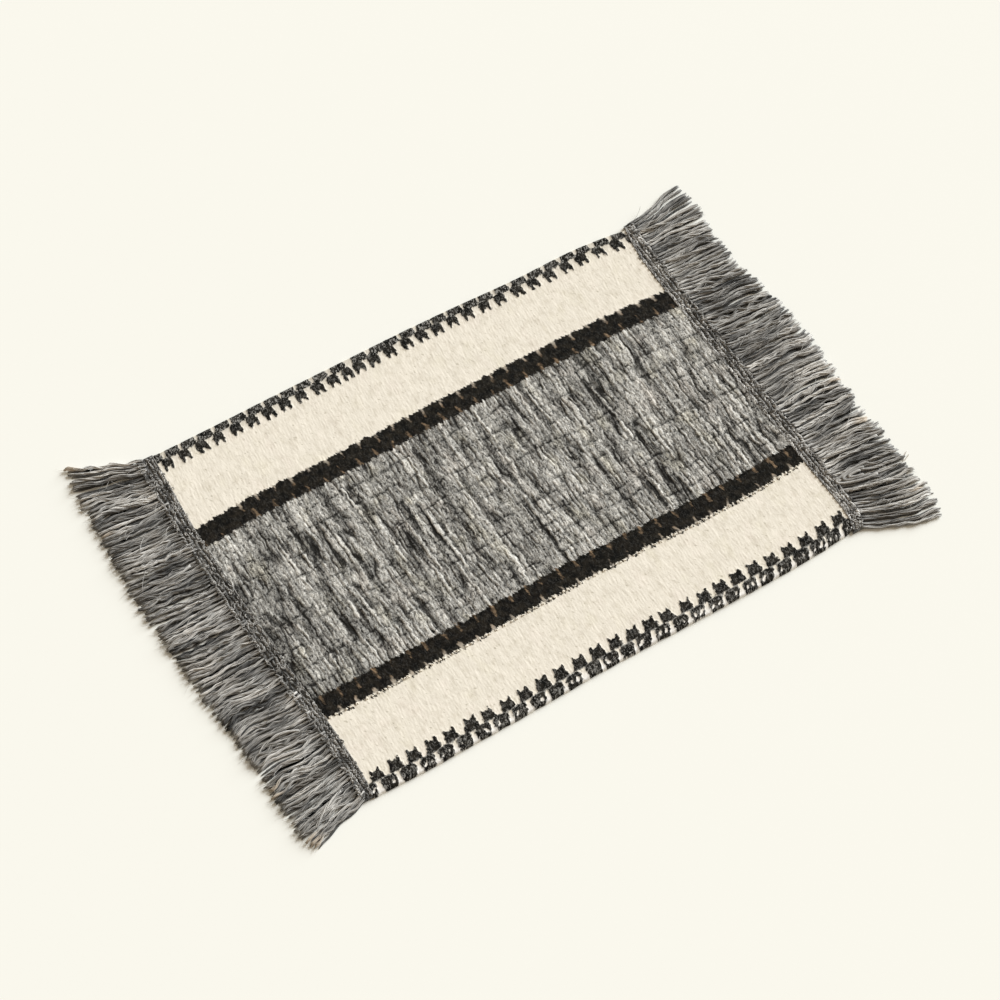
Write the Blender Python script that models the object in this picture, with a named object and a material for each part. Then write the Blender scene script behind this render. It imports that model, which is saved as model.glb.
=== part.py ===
"""Fringed flat-woven placemat, lying flat on a surface. Metres, +Z up.

+X runs along the mat's length and +Y across it. The origin is at the bottom centre of the
whole mat's box, fringes included. The mat is three pieces: one woven ground, and at each end
a heading strip that carries a row of loose strands.
"""
import math
import random

import bmesh
import bpy

# ---- Driving dimensions ----------------------------------------------------------------------

GROUND_THICKNESS = 0.0030
SEAM_GAP = 0.0003           # clear space between the ground and each heading strip
GROUND_COLUMNS = 116        # divisions along the length, four to each tooth of the border
COLUMNS_PER_TOOTH = 4
EDGE_RIPPLE = 0.0004        # how far each tooth pushes the long edges out
SLUB_RELIEF = 0.0005        # thickest slub ribs of the marl centre above its thinnest

STRANDS = 96                # strands in each fringe
STRAND_SHARE = 0.77         # part of the root's pitch that a strand fills
STRANDS_PER_LOCK = 4
LOCK_CLOSING = 0.12         # how far the strands of a lock draw together at their tips
LOCK_SWING = 0.0006         # sideways swing of a whole lock at its tip
LENGTH_SPREAD = 0.0018      # shortest strand below the longest of its place
WAVE_HEIGHT = 0.0008        # sideways wave of the strands, half-way along
WAVE_LENGTH = 0.046
HEADING_TWIST = 0.0002      # rise and fall of the heading's twisted ridges

COLOURS = {
    "cream cotton": (0.80, 0.74, 0.64, 1.0),
    "black wool": (0.018, 0.017, 0.017, 1.0),
    "grey marl": (0.22, 0.22, 0.22, 1.0),
}

# Bands of the ground, from the near long edge to the far one, on the straight-edged plan.
BANDS = (
    # near edge, far edge, rows of faces, pattern
    (-0.1530, -0.1433, 1, "check"),
    (-0.1433, -0.1350, 1, "teeth"),
    (-0.1350, -0.0865, 2, "cream"),
    (-0.0865, -0.0705, 1, "black"),
    (-0.0705, 0.0735, 6, "marl"),
    (0.0735, 0.0890, 1, "black"),
    (0.0890, 0.1370, 2, "cream"),
    (0.1370, 0.1455, 1, "teeth"),
    (0.1455, 0.1525, 1, "check"),
)

# How far the long lines of the mat wander: the plan's straight lines, and where each one
# really lies at a station along the length.
STRAIGHT_LINES = (-0.1530, -0.0865, 0.0890, 0.1525)
LONG_LINES = (
    # x, near edge, near black band, far black band, far edge
    (-0.205, -0.1532, -0.0872, 0.0860, 0.1536),
    (-0.190, -0.1536, -0.0872, 0.0856, 0.1526),
    (-0.150, -0.1542, -0.0870, 0.0880, 0.1522),
    (-0.100, -0.1540, -0.0873, 0.0879, 0.1527),
    (-0.050, -0.1532, -0.0867, 0.0886, 0.1528),
    (0.000, -0.1520, -0.0854, 0.0896, 0.1533),
    (0.050, -0.1525, -0.0858, 0.0902, 0.1527),
    (0.100, -0.1528, -0.0864, 0.0902, 0.1511),
    (0.150, -0.1526, -0.0866, 0.0887, 0.1507),
    (0.180, -0.1508, -0.0856, 0.0869, 0.1490),
    (0.193, -0.1490, -0.0853, 0.0856, 0.1476),
    (0.205, -0.1508, -0.0853, 0.0850, 0.1514),
)

# The lines that run across the mat at its two ends, and how far the strands sweep sideways
# from root to tip, at a station across the width.
END_LINES = {
    "left": (
        # y, seam, root, tip, sweep
        (-0.1525, -0.1872, -0.1966, -0.2415, -0.0150),
        (-0.1400, -0.1876, -0.1970, -0.2466, -0.0090),
        (-0.1200, -0.1882, -0.1978, -0.2478, -0.0050),
        (-0.0900, -0.1894, -0.1992, -0.2490, -0.0010),
        (-0.0600, -0.1904, -0.2006, -0.2500, 0.0000),
        (-0.0300, -0.1918, -0.2022, -0.2525, 0.0000),
        (0.0000, -0.1927, -0.2032, -0.2542, 0.0010),
        (0.0300, -0.1934, -0.2040, -0.2555, -0.0010),
        (0.0600, -0.1942, -0.2050, -0.2563, 0.0015),
        (0.0900, -0.1945, -0.2054, -0.2550, 0.0000),
        (0.1200, -0.1936, -0.2050, -0.2525, 0.0010),
        (0.1400, -0.1924, -0.2044, -0.2510, 0.0060),
        (0.1525, -0.1916, -0.2040, -0.2440, 0.0200),
    ),
    "right": (
        # y, seam, root, tip, sweep
        (-0.1500, 0.1960, 0.2052, 0.2490, -0.0230),
        (-0.1400, 0.1954, 0.2048, 0.2540, -0.0120),
        (-0.1200, 0.1944, 0.2043, 0.2530, -0.0060),
        (-0.0900, 0.1934, 0.2037, 0.2525, -0.0020),
        (-0.0600, 0.1926, 0.2033, 0.2523, -0.0010),
        (-0.0300, 0.1918, 0.2029, 0.2545, -0.0010),
        (0.0000, 0.1910, 0.2024, 0.2560, 0.0000),
        (0.0300, 0.1905, 0.2020, 0.2540, -0.0010),
        (0.0600, 0.1900, 0.2015, 0.2505, -0.0030),
        (0.0900, 0.1896, 0.2010, 0.2475, -0.0040),
        (0.1200, 0.1898, 0.2010, 0.2480, -0.0030),
        (0.1400, 0.1912, 0.2013, 0.2500, 0.0020),
        (0.1505, 0.1922, 0.2018, 0.2460, 0.0140),
    ),
}
SEAM, ROOT, TIP, SWEEP = 1, 2, 3, 4     # columns of END_LINES

# Section of a heading strip, from the seam to the roots: two twisted ridges.
HEADING_SECTION = (
    # share of the width, height, twisted
    (0.00, 0.0029, False),
    (0.27, 0.0037, True),
    (0.52, 0.0031, False),
    (0.78, 0.0037, True),
    (1.00, 0.0026, False),
)

# Sections of one strand, from just past its root to its tip.
STRAND_SECTIONS = (
    # share of the length, share of the root's width, height
    (0.24, 1.00, 0.0024),
    (0.50, 0.95, 0.0021),
    (0.77, 0.85, 0.0018),
    (1.00, 0.55, 0.0012),
)


# ---- Lines of the outline --------------------------------------------------------------------

def read_line(table, column, station):
    """Value of one column at a station, on a smooth curve through the table's rows."""
    last = len(table) - 1
    station = min(max(station, table[0][0]), table[last][0])
    index = next(row for row in range(last) if station <= table[row + 1][0])

    def slope(row):
        before, after = table[max(row - 1, 0)], table[min(row + 1, last)]
        return (after[column] - before[column]) / (after[0] - before[0])

    start, stop = table[index], table[index + 1]
    span = stop[0] - start[0]
    share = (station - start[0]) / span
    eased = share * share * (3.0 - 2.0 * share)
    value = start[column] + (stop[column] - start[column]) * eased
    value += span * slope(index) * share * (1.0 - share) ** 2
    return value - span * slope(index + 1) * share * share * (1.0 - share)


def place_across(x, straight_y):
    """Where a line of the straight-edged plan really lies across the mat, at station x."""
    wandering = [read_line(LONG_LINES, column + 1, x) for column in range(len(STRAIGHT_LINES))]
    index = 0
    while index < len(STRAIGHT_LINES) - 2 and straight_y > STRAIGHT_LINES[index + 1]:
        index += 1
    low, high = STRAIGHT_LINES[index], STRAIGHT_LINES[index + 1]
    share = (straight_y - low) / (high - low)
    return wandering[index] + (wandering[index + 1] - wandering[index]) * share


def slub_height(column, straight_y):
    """Rise of the marl's slub ribs, which run across the mat and swell and thin as they go."""
    rib = math.sin(2.3 * column) + 0.7 * math.sin(1.13 * column + 0.8)
    swell = 0.6 + 0.4 * math.sin(0.9 * column + 60.0 * straight_y)
    return SLUB_RELIEF * 0.5 * (rib / 1.7) * swell


# ---- Woven ground ----------------------------------------------------------------------------

def band_rows():
    """Lines between the rows of faces across the ground, and the pattern of each row."""
    lines, patterns = [BANDS[0][0]], []
    for near, far, rows, pattern in BANDS:
        for row in range(rows):
            lines.append(near + (far - near) * (row + 1) / rows)
            patterns.append(pattern)
    return lines, patterns


def band_colour(pattern, column):
    """Yarn of one face: the borders change yarn from column to column, the rest do not."""
    step = column % COLUMNS_PER_TOOTH
    if pattern == "check":
        return "cream cotton" if step == 0 else "black wool"
    if pattern == "teeth":
        return "black wool" if step in (0, 1, 3) else "cream cotton"
    return {"cream": "cream cotton", "black": "black wool", "marl": "grey marl"}[pattern]


def seam_place(end, straight_y):
    """Where a line of the straight-edged plan meets the seam of one end."""
    near_seam = read_line(END_LINES[end], SEAM, straight_y)
    return read_line(END_LINES[end], SEAM, place_across(near_seam, straight_y))


def ground_point(column, straight_y):
    """Point of the ground's upper face: flat but for the marl's ribs, rippled at its long edges."""
    left = seam_place("left", straight_y) + SEAM_GAP / 2
    right = seam_place("right", straight_y) - SEAM_GAP / 2
    x = left + (right - left) * column / GROUND_COLUMNS
    y = place_across(x, straight_y)
    if straight_y in (STRAIGHT_LINES[0], STRAIGHT_LINES[-1]):
        tooth = math.cos(2 * math.pi * (column - 0.5) / COLUMNS_PER_TOOTH)
        y -= math.copysign(EDGE_RIPPLE, straight_y) * 0.5 * (1 + tooth)
    z = GROUND_THICKNESS
    marl_near, marl_far = next(band[:2] for band in BANDS if band[3] == "marl")
    if marl_near < straight_y < marl_far:
        z += slub_height(column, straight_y)
    return x, y, z


def close_underside(bm, along):
    """Thicken an open upper face down to z = 0 and thin out the flat underside's edges.

    along is 0 or 1, the axis along which the removed edges run.
    """
    lower = bmesh.ops.extrude_face_region(bm, geom=bm.faces[:])["geom"]
    for item in lower:
        if isinstance(item, bmesh.types.BMVert):
            item.co.z = 0.0
    across = 1 - along
    removed = []
    for edge in bm.edges:
        flat = all(vert.co.z == 0.0 for face in edge.link_faces for vert in face.verts)
        run = edge.verts[1].co - edge.verts[0].co
        if flat and len(edge.link_faces) == 2 and abs(run[along]) > abs(run[across]):
            removed.append(edge)
    bmesh.ops.dissolve_edges(bm, edges=removed, use_verts=True)
    bmesh.ops.recalc_face_normals(bm, faces=bm.faces[:])


def make_ground():
    """One flat woven cloth: a grid laid between the mat's wandering lines, then thickened."""
    lines, patterns = band_rows()
    bm = bmesh.new()
    bmesh.ops.create_grid(bm, x_segments=GROUND_COLUMNS, y_segments=len(patterns), size=0.5)
    for face in bm.faces:
        middle = face.calc_center_median()
        column = int((middle.x + 0.5) * GROUND_COLUMNS)
        row = int((middle.y + 0.5) * len(patterns))
        face.material_index = list(COLOURS).index(band_colour(patterns[row], column))
    for vert in bm.verts:
        column = round((vert.co.x + 0.5) * GROUND_COLUMNS)
        row = round((vert.co.y + 0.5) * len(patterns))
        vert.co = ground_point(column, lines[row])
    close_underside(bm, along=0)
    return finish_object("woven_ground", bm, list(COLOURS))


# ---- Fringes ---------------------------------------------------------------------------------

def heading_stations(end):
    """Stations along a heading: the two sides of each strand's root, and the strip's ends."""
    table = END_LINES[end]
    low, high = table[0][0], table[-1][0]
    pitch = (high - low) / STRANDS
    margin = pitch * (1 - STRAND_SHARE) / 2
    stations = [low]
    for strand in range(STRANDS):
        stations.append(low + strand * pitch + margin)
        stations.append(low + (strand + 1) * pitch - margin)
    stations.append(high)
    return stations


def heading_point(end, station, index, section):
    """Point of a heading strip's upper face."""
    share, height, twisted = section
    outward = -1 if end == "left" else 1
    seam = read_line(END_LINES[end], SEAM, station) + outward * SEAM_GAP / 2
    root = read_line(END_LINES[end], ROOT, station)
    if twisted:
        height += HEADING_TWIST if index % 4 < 2 else -HEADING_TWIST
    return seam + (root - seam) * share, station, height


def strand_centre(end, station, share, lock_middle, swing, shortening):
    """Middle of a strand at a share of its length: root to tip, swept, waved and locked."""
    table = END_LINES[end]
    root = read_line(table, ROOT, station)
    tip = read_line(table, TIP, station)
    tip -= math.copysign(shortening, tip)
    x = root + (tip - root) * share
    y = station + read_line(table, SWEEP, station) * share ** 1.3
    y += WAVE_HEIGHT * math.sin(math.pi * share) * math.sin(2 * math.pi * station / WAVE_LENGTH)
    y += (LOCK_CLOSING * (lock_middle - station) + swing) * share ** 2
    return x, y


def strand_spread(end, station):
    """How much the tips fan out at this place, against the pitch of the roots."""
    step = 0.002
    ahead = read_line(END_LINES[end], SWEEP, station + step)
    behind = read_line(END_LINES[end], SWEEP, station - step)
    return min(max(1 + (ahead - behind) / (2 * step), 0.9), 1.5)


def draw_strand(bm, root_face, end, lock_middle, swing, shortening):
    """Draw one strand out of its root face, section by section, flat on the surface."""
    station = root_face.calc_center_median().y
    root_width = max(vert.co.y for vert in root_face.verts) - station
    spread = strand_spread(end, station)
    face = root_face
    for share, width_share, height in STRAND_SECTIONS:
        upper = [vert.co.z > 0.0 for vert in face.verts]
        middle = face.calc_center_median().y
        sides = [math.copysign(1.0, vert.co.y - middle) for vert in face.verts]
        face = bmesh.ops.extrude_discrete_faces(bm, faces=[face])["faces"][0]
        x, y = strand_centre(end, station, share, lock_middle, swing, shortening)
        half_width = root_width * width_share * (1 + (spread - 1) * share)
        for vert, is_upper, side in zip(face.verts, upper, sides):
            vert.co = (x, y + side * half_width, height if is_upper else 0.0)


def make_fringe(end, seed):
    """Heading strip of one end with its strands drawn out of the strip's outer wall."""
    stations = heading_stations(end)
    cells, spans = len(stations) - 1, len(HEADING_SECTION) - 1
    bm = bmesh.new()
    bmesh.ops.create_grid(bm, x_segments=spans, y_segments=cells, size=0.5)
    for vert in bm.verts:
        section = HEADING_SECTION[round((vert.co.x + 0.5) * spans)]
        index = round((vert.co.y + 0.5) * cells)
        vert.co = heading_point(end, stations[index], index, section)
    close_underside(bm, along=1)

    outer_walls = []
    for face in bm.faces:
        on_root = [vert for vert in face.verts
                   if abs(vert.co.x - read_line(END_LINES[end], ROOT, vert.co.y)) < 1e-6]
        if len(on_root) == 4 and len(face.verts) == 4:
            outer_walls.append(face)
    outer_walls.sort(key=lambda face: face.calc_center_median().y)
    roots = outer_walls[1::2]

    chance = random.Random(seed)
    for start in range(0, STRANDS, STRANDS_PER_LOCK):
        lock = roots[start:start + STRANDS_PER_LOCK]
        lock_middle = sum(face.calc_center_median().y for face in lock) / len(lock)
        swing = chance.uniform(-LOCK_SWING, LOCK_SWING)
        for face in lock:
            draw_strand(bm, face, end, lock_middle, swing, chance.uniform(0.0, LENGTH_SPREAD))
    bmesh.ops.recalc_face_normals(bm, faces=bm.faces[:])
    return finish_object("fringe_" + end, bm, ["grey marl"])


# ---- Objects and materials -------------------------------------------------------------------

def yarn_material(name):
    """Matt yarn in one colour."""
    material = bpy.data.materials.get(name) or bpy.data.materials.new(name)
    material.use_nodes = True
    shader = material.node_tree.nodes["Principled BSDF"]
    shader.inputs["Base Color"].default_value = COLOURS[name]
    shader.inputs["Roughness"].default_value = 0.95
    shader.inputs["Metallic"].default_value = 0.0
    material.diffuse_color = COLOURS[name]
    return material


def finish_object(name, bm, yarns):
    """Turn the bmesh into a named object with its yarns as materials."""
    mesh = bpy.data.meshes.new(name)
    bm.to_mesh(mesh)
    bm.free()
    for yarn in yarns:
        mesh.materials.append(yarn_material(yarn))
    return bpy.data.objects.new(name, mesh)


def centre_on_origin(pieces):
    """Move all pieces together until the middle of their common box is over the origin."""
    points = [vert.co for piece in pieces for vert in piece.data.vertices]
    for axis in (0, 1):
        low = min(point[axis] for point in points)
        high = max(point[axis] for point in points)
        for point in points:
            point[axis] -= (low + high) / 2


def main():
    for old in list(bpy.data.objects):
        bpy.data.objects.remove(old, do_unlink=True)
    placemat = bpy.data.collections.new("fringed_placemat")
    bpy.context.scene.collection.children.link(placemat)
    pieces = [make_ground(), make_fringe("left", seed=5), make_fringe("right", seed=11)]
    centre_on_origin(pieces)
    for piece in pieces:
        placemat.objects.link(piece)


main()
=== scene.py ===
"""Fringed flat-woven placemat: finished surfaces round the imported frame. Metres, +Z up.

The cloth is laid out on a straight-edged plan with two measures: along, from the left seam to
the right one, and across, from the near long edge to the far one. The tables below say how the
plan's lines wander on the real mat. Every yarn of the cloth is placed on the plan first, and
the headings and fringes follow the lines across the two ends.
"""

import math

import bpy
import mathutils
import numpy as np
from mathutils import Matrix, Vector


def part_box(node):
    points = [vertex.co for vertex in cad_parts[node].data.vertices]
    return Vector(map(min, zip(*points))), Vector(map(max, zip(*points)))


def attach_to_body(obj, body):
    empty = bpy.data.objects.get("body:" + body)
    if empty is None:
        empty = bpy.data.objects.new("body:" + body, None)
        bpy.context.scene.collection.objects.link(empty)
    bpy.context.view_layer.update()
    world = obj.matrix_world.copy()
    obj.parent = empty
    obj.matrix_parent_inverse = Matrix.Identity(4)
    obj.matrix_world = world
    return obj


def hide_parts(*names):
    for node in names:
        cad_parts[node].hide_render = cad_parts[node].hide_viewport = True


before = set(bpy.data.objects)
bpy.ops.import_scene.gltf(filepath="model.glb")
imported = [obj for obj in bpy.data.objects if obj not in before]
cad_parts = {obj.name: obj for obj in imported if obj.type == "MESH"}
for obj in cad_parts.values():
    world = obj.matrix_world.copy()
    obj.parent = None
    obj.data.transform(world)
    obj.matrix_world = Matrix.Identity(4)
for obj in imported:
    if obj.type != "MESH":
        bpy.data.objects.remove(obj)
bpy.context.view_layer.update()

bl_info = {
    "name": "Fringed Woven Placemat",
    "version": (1, 0, 0),
    "blender": (4, 5, 0),
    "location": "View3D > Sidebar > Placemat",
    "description": "Weaves a striped table mat with twined headings and loose yarn fringes",
    "category": "Add Mesh",
}

# ---- The mat's plan --------------------------------------------------------------------------

LENGTH = 0.3820             # along the plan, from seam to seam
NEAR_EDGE, FAR_EDGE = -0.1530, 0.1525
NEAR_BLACK, FAR_BLACK = (-0.0865, -0.0699), (0.0716, 0.0890)
SEAM_GAP = 0.0003

# How far the plan's long lines wander, at a station along the length.
STRAIGHT_LINES = (NEAR_EDGE, NEAR_BLACK[0], FAR_BLACK[1], FAR_EDGE)
LONG_LINES = np.array((
    # x, near edge, near black band, far black band, far edge
    (-0.205, -0.1527, -0.0875, 0.0860, 0.1543),
    (-0.190, -0.1531, -0.0875, 0.0857, 0.1532),
    (-0.150, -0.1540, -0.0880, 0.0886, 0.1531),
    (-0.100, -0.1533, -0.0882, 0.0883, 0.1536),
    (-0.050, -0.1524, -0.0878, 0.0889, 0.1538),
    (0.000, -0.1511, -0.0864, 0.0901, 0.1539),
    (0.050, -0.1516, -0.0867, 0.0905, 0.1532),
    (0.100, -0.1521, -0.0880, 0.0907, 0.1514),
    (0.150, -0.1513, -0.0877, 0.0894, 0.1517),
    (0.180, -0.1494, -0.0859, 0.0869, 0.1493),
    (0.193, -0.1477, -0.0850, 0.0854, 0.1476),
    (0.205, -0.1503, -0.0854, 0.0848, 0.1510),
))

# The lines across each end, and how far the fringe sweeps sideways from root to tip.
END_LINES = {
    "left": np.array((
        # y, seam, root, tip, sweep
        (-0.1525, -0.1896, -0.1982, -0.2403, -0.0135),
        (-0.1400, -0.1884, -0.1975, -0.2454, -0.0095),
        (-0.1200, -0.1880, -0.1977, -0.2466, -0.0050),
        (-0.0900, -0.1885, -0.1986, -0.2478, -0.0010),
        (-0.0600, -0.1898, -0.2002, -0.2488, 0.0000),
        (-0.0300, -0.1914, -0.2020, -0.2515, 0.0000),
        (0.0000, -0.1925, -0.2032, -0.2532, 0.0010),
        (0.0300, -0.1932, -0.2040, -0.2545, -0.0010),
        (0.0600, -0.1938, -0.2048, -0.2555, 0.0015),
        (0.0900, -0.1937, -0.2050, -0.2540, 0.0010),
        (0.1200, -0.1924, -0.2045, -0.2525, 0.0040),
        (0.1400, -0.1914, -0.2040, -0.2520, 0.0120),
        (0.1540, -0.1906, -0.2036, -0.2480, 0.0240),
    )),
    "right": np.array((
        # y, seam, root, tip, sweep
        (-0.1500, 0.1898, 0.1988, 0.2510, -0.0225),
        (-0.1400, 0.1936, 0.2026, 0.2562, -0.0160),
        (-0.1200, 0.1944, 0.2043, 0.2552, -0.0080),
        (-0.0900, 0.1934, 0.2037, 0.2551, -0.0020),
        (-0.0600, 0.1926, 0.2033, 0.2543, -0.0010),
        (-0.0300, 0.1918, 0.2029, 0.2559, -0.0010),
        (0.0000, 0.1910, 0.2024, 0.2575, 0.0000),
        (0.0300, 0.1905, 0.2020, 0.2555, -0.0010),
        (0.0600, 0.1900, 0.2015, 0.2523, -0.0030),
        (0.0900, 0.1896, 0.2010, 0.2487, -0.0040),
        (0.1200, 0.1900, 0.2010, 0.2490, -0.0010),
        (0.1400, 0.1924, 0.2014, 0.2525, 0.0050),
        (0.1505, 0.1948, 0.2022, 0.2505, 0.0112),
    )),
}
SEAM, ROOT, TIP, SWEEP = 1, 2, 3, 4     # columns of END_LINES

# Eyes of the fringes, where the strands part round a spot and close again.
FRINGE_EYES = {
    # end: (y, distance out from the root, length, width)
    "left": ((-0.0950, 0.020, 0.024, 0.0022), (0.0420, 0.026, 0.020, 0.0020),
             (0.1120, 0.024, 0.022, 0.0018)),
    "right": ((-0.1130, 0.019, 0.030, 0.0030), (-0.0300, 0.024, 0.022, 0.0020),
              (0.0760, 0.022, 0.024, 0.0022)),
}

# Strands that lie curled back on top of a fringe, as rings one inside the other.
FRINGE_CURLS = {
    # end: (x, y, half length, half width, lean, rings, yarn thickness, tone, tan share)
    "left": (),
    "right": ((0.2180, -0.1122, 0.0145, 0.0058, -0.10, 3, 0.00200, 0.56, 0.0),
              (0.2570, -0.1172, 0.0030, 0.0014, 0.60, 1, 0.00045, 0.60, 0.7)),
}

# Pale strands that lie across the others: start, middle and end on the plan, and tone.
FRINGE_STRAYS = {
    # end: (x, y, x, y, x, y, tone)
    "left": ((-0.2100, 0.0620, -0.2260, 0.0590, -0.2420, 0.0640, 0.74),
             (-0.2080, -0.0860, -0.2240, -0.0820, -0.2400, -0.0880, 0.72),
             (-0.2060, -0.1380, -0.2200, -0.1440, -0.2330, -0.1530, 0.74)),
    "right": ((0.2040, 0.1077, 0.2270, 0.1036, 0.2445, 0.1030, 0.76),
              (0.2045, -0.0896, 0.2270, -0.0925, 0.2490, -0.0933, 0.76),
              (0.2070, -0.1212, 0.2270, -0.1262, 0.2460, -0.1318, 0.74),
              (0.2030, 0.1400, 0.2140, 0.1380, 0.2245, 0.1372, 0.78)),
}

# Places along each fringe where the tips have weathered to tan.
TIP_TANS = {
    # end: (y, half width, share of the strands)
    "left": ((-0.1505, 0.0060, 1.00), (0.0120, 0.0160, 0.10), (0.1520, 0.0040, 0.22)),
    "right": ((-0.0850, 0.0080, 0.10), (0.0880, 0.0060, 0.12)),
}

# What else differs between the yarns of the two ends.
FRINGE_WAYS = {
    # outward: which way along X the fringe points; uneven: how much the strands' lengths differ;
    # wave: height of a strand's own wave; crossing: share of strands that lie over others;
    # spring and settle: how far the tips rise and sink again; crimp: height of a yarn's kinks;
    # dark_tips: most that a tip darkens; tone and pale_corner: added tone, in all and at the far
    # corner; long_frays: share of tip fibres that run far; heading_tone: tone of the cords
    "left": {"outward": -1.0, "uneven": 0.0011, "wave": 0.00050, "crossing": 0.20, "spring": 0.0009,
             "settle": 0.6, "crimp": 0.00026, "dark_tips": 0.10, "tone": -0.085, "pale_corner": 0.25,
             "long_frays": 0.45, "heading_tone": 0.36},
    "right": {"outward": 1.0, "uneven": 0.0016, "wave": 0.00042, "crossing": 0.14, "spring": 0.0004,
              "settle": 0.3, "crimp": 0.00018, "dark_tips": 0.36, "tone": 0.010, "pale_corner": 0.0,
              "long_frays": 0.0, "heading_tone": 0.53},
}
ROOT_TUCK = 0.0012          # strands start this far under the heading's outer cord
TIP_ROOM = 0.0008           # strands end this far inside the tip line, and their frays pass it
REACH_LIMITS = (-0.0045, 0.0016)    # the most that a strand ends short of there, or past it
SWAY, GATHER = 0.0026, 0.0017       # how far strands bend together, and draw into locks
CROSSING_RISE = 0.0011      # rise of a strand that lies over others
YARN_RINGS, UNDER_RINGS = 20, 11    # rings of points along a yarn, and along a flat one
UNDER_YARNS = 190           # dark flat yarns under the strands of each fringe, painted shade in their gaps
UNDER_HALF = 0.00062        # half the height of a flat yarn
HAIRS = 190                 # stray hairs over each fringe
HAIR_LEVEL = 0.0030
FRAYED = 0.6                # share of the yarns with a frayed fibre at the tip
FRAY_HALF, FRAY_FLOOR = 0.00018, 0.00022    # half a fibre's thickness, and its lowest place
STRAY_LEVEL, STRAY_RISE, STRAY_RADIUS = 0.0022, 0.0014, 0.00055     # strands across the others
BOW_TURN = 2.7              # a folded strand runs from minus this angle to plus this angle
PLY_TURN = 0.0021           # length of one turn of a fringe yarn's two plies

# The headings: places of the cords and of the loops between them, as shares from seam to root.
CORD_ROWS = (0.12, 0.38, 0.63, 0.87)
LOOP_ROWS = (0.07, 0.33, 0.62, 0.92)
HEADING_LOOPS = 420         # small loops in each heading
HEADING_INSET = 0.0012      # the cords and strands end this far inside the heading's ends
CORD_LEVEL, CORD_WANDER = 0.0023, 0.0008    # height of the cords' lines, and how far they wander
HEADING_LOOP_LEVEL = 0.0028
STRIP_LIP = 0.0003          # the strip under the cords ends this far past the root line
STITCH = 0.0040             # spacing of the running stitches along a heading's inner edge
THREAD_LEVEL, THREAD_RISE, THREAD_HALF = 0.0027, 0.0005, 0.00034

# The two toothed borders: spacing of the motif, and its first inner and outer blocks.
BORDERS = {
    # side: (pitch, first inner block, first outer block), along the plan
    "far": (0.01328, 0.0067, -0.0003),
    "near": (0.01418, 0.0073, -0.0005),
}
BORDER_BLOCKS = 34          # more than a row's blocks, so that every row runs past its end
BORDER_MIDDLE = 0.1445      # distance from the plan's middle, about which the blocks lean

# How far each row's blocks lie from an even spacing, at stations along the plan.
BORDER_DRIFTS = {
    # (side, block): stations along, how far along the blocks have slipped
    ("far", "inner"): ((0.005, 0.030, 0.060, 0.090, 0.120, 0.139, 0.152, 0.165, 0.180, 0.205,
                        0.219, 0.246, 0.260, 0.312, 0.338, 0.352, 0.365, 0.382),
                       (-0.0004, -0.0003, 0.0, -0.0001, -0.0008, -0.0017, -0.0030, -0.0069, -0.0082,
                        -0.0081, -0.0091, -0.0104, -0.0111, -0.0108, -0.0098, -0.0094, -0.0085, -0.0076)),
    ("far", "outer"): ((0.005, 0.060, 0.090, 0.120, 0.138, 0.152, 0.165, 0.180, 0.205, 0.232,
                        0.260, 0.300, 0.330, 0.350, 0.365, 0.382),
                       (-0.0006, -0.0006, 0.0, -0.0020, -0.0022, 0.0017, 0.0050, 0.0036, 0.0032, 0.0024,
                        0.0010, 0.0020, 0.0034, 0.0032, 0.0058, 0.0056)),
    ("near", "inner"): ((0.0, 0.130, 0.190, 0.250, 0.290, 0.330, 0.370),
                        (-0.0002, 0.0001, 0.0007, -0.0002, -0.0009, -0.0014, -0.0016)),
    ("near", "outer"): ((0.0, 0.130, 0.190, 0.250, 0.290, 0.330, 0.370),
                        (-0.0002, 0.0008, 0.0008, 0.0, -0.0009, -0.0014, -0.0016)),
}

# One motif of each border as tapered strokes of black, measured from its block's middle.
BORDER_STROKES = {
    # side: (block, from along, from across, radius, to along, to across, radius)
    "far": (
        ("inner", -0.0013, 0.1443, 0.0026, 0.0013, 0.1443, 0.0026),
        ("inner", -0.0015, 0.1426, 0.0028, 0.0015, 0.1426, 0.0028),
        ("inner", -0.0024, 0.1410, 0.0018, -0.0027, 0.1374, 0.0010),
        ("inner", 0.0024, 0.1410, 0.0018, 0.0027, 0.1374, 0.0010),
        ("outer", -0.0029, 0.1508, 0.0026, 0.0029, 0.1508, 0.0026),
        ("outer", -0.0032, 0.1480, 0.0026, 0.0032, 0.1480, 0.0026),
    ),
    "near": (
        ("inner", -0.0025, -0.1410, 0.0026, 0.0025, -0.1410, 0.0026),
        ("inner", -0.0021, -0.1383, 0.0022, 0.0021, -0.1383, 0.0022),
        ("inner", -0.0039, -0.1429, 0.0015, 0.0039, -0.1429, 0.0015),
        ("inner", -0.0027, -0.1369, 0.0016, -0.0031, -0.1348, 0.0008),
        ("inner", 0.0027, -0.1369, 0.0016, 0.0031, -0.1348, 0.0008),
        ("outer", -0.0028, -0.1467, 0.0031, 0.0028, -0.1467, 0.0031),
        ("outer", -0.0031, -0.1494, 0.0025, 0.0031, -0.1494, 0.0025),
        ("outer", -0.0034, -0.1520, 0.0016, 0.0034, -0.1520, 0.0016),
    ),
}

# Pale slots in each outer block of the near border, and their radii at top and foot.
NEAR_SLOTS = (
    # along, from across, radius, to across, radius
    (-0.0024, -0.1483, 0.0006, -0.1499, 0.0010),
    (0.0024, -0.1483, 0.0006, -0.1499, 0.0010),
)

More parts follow.
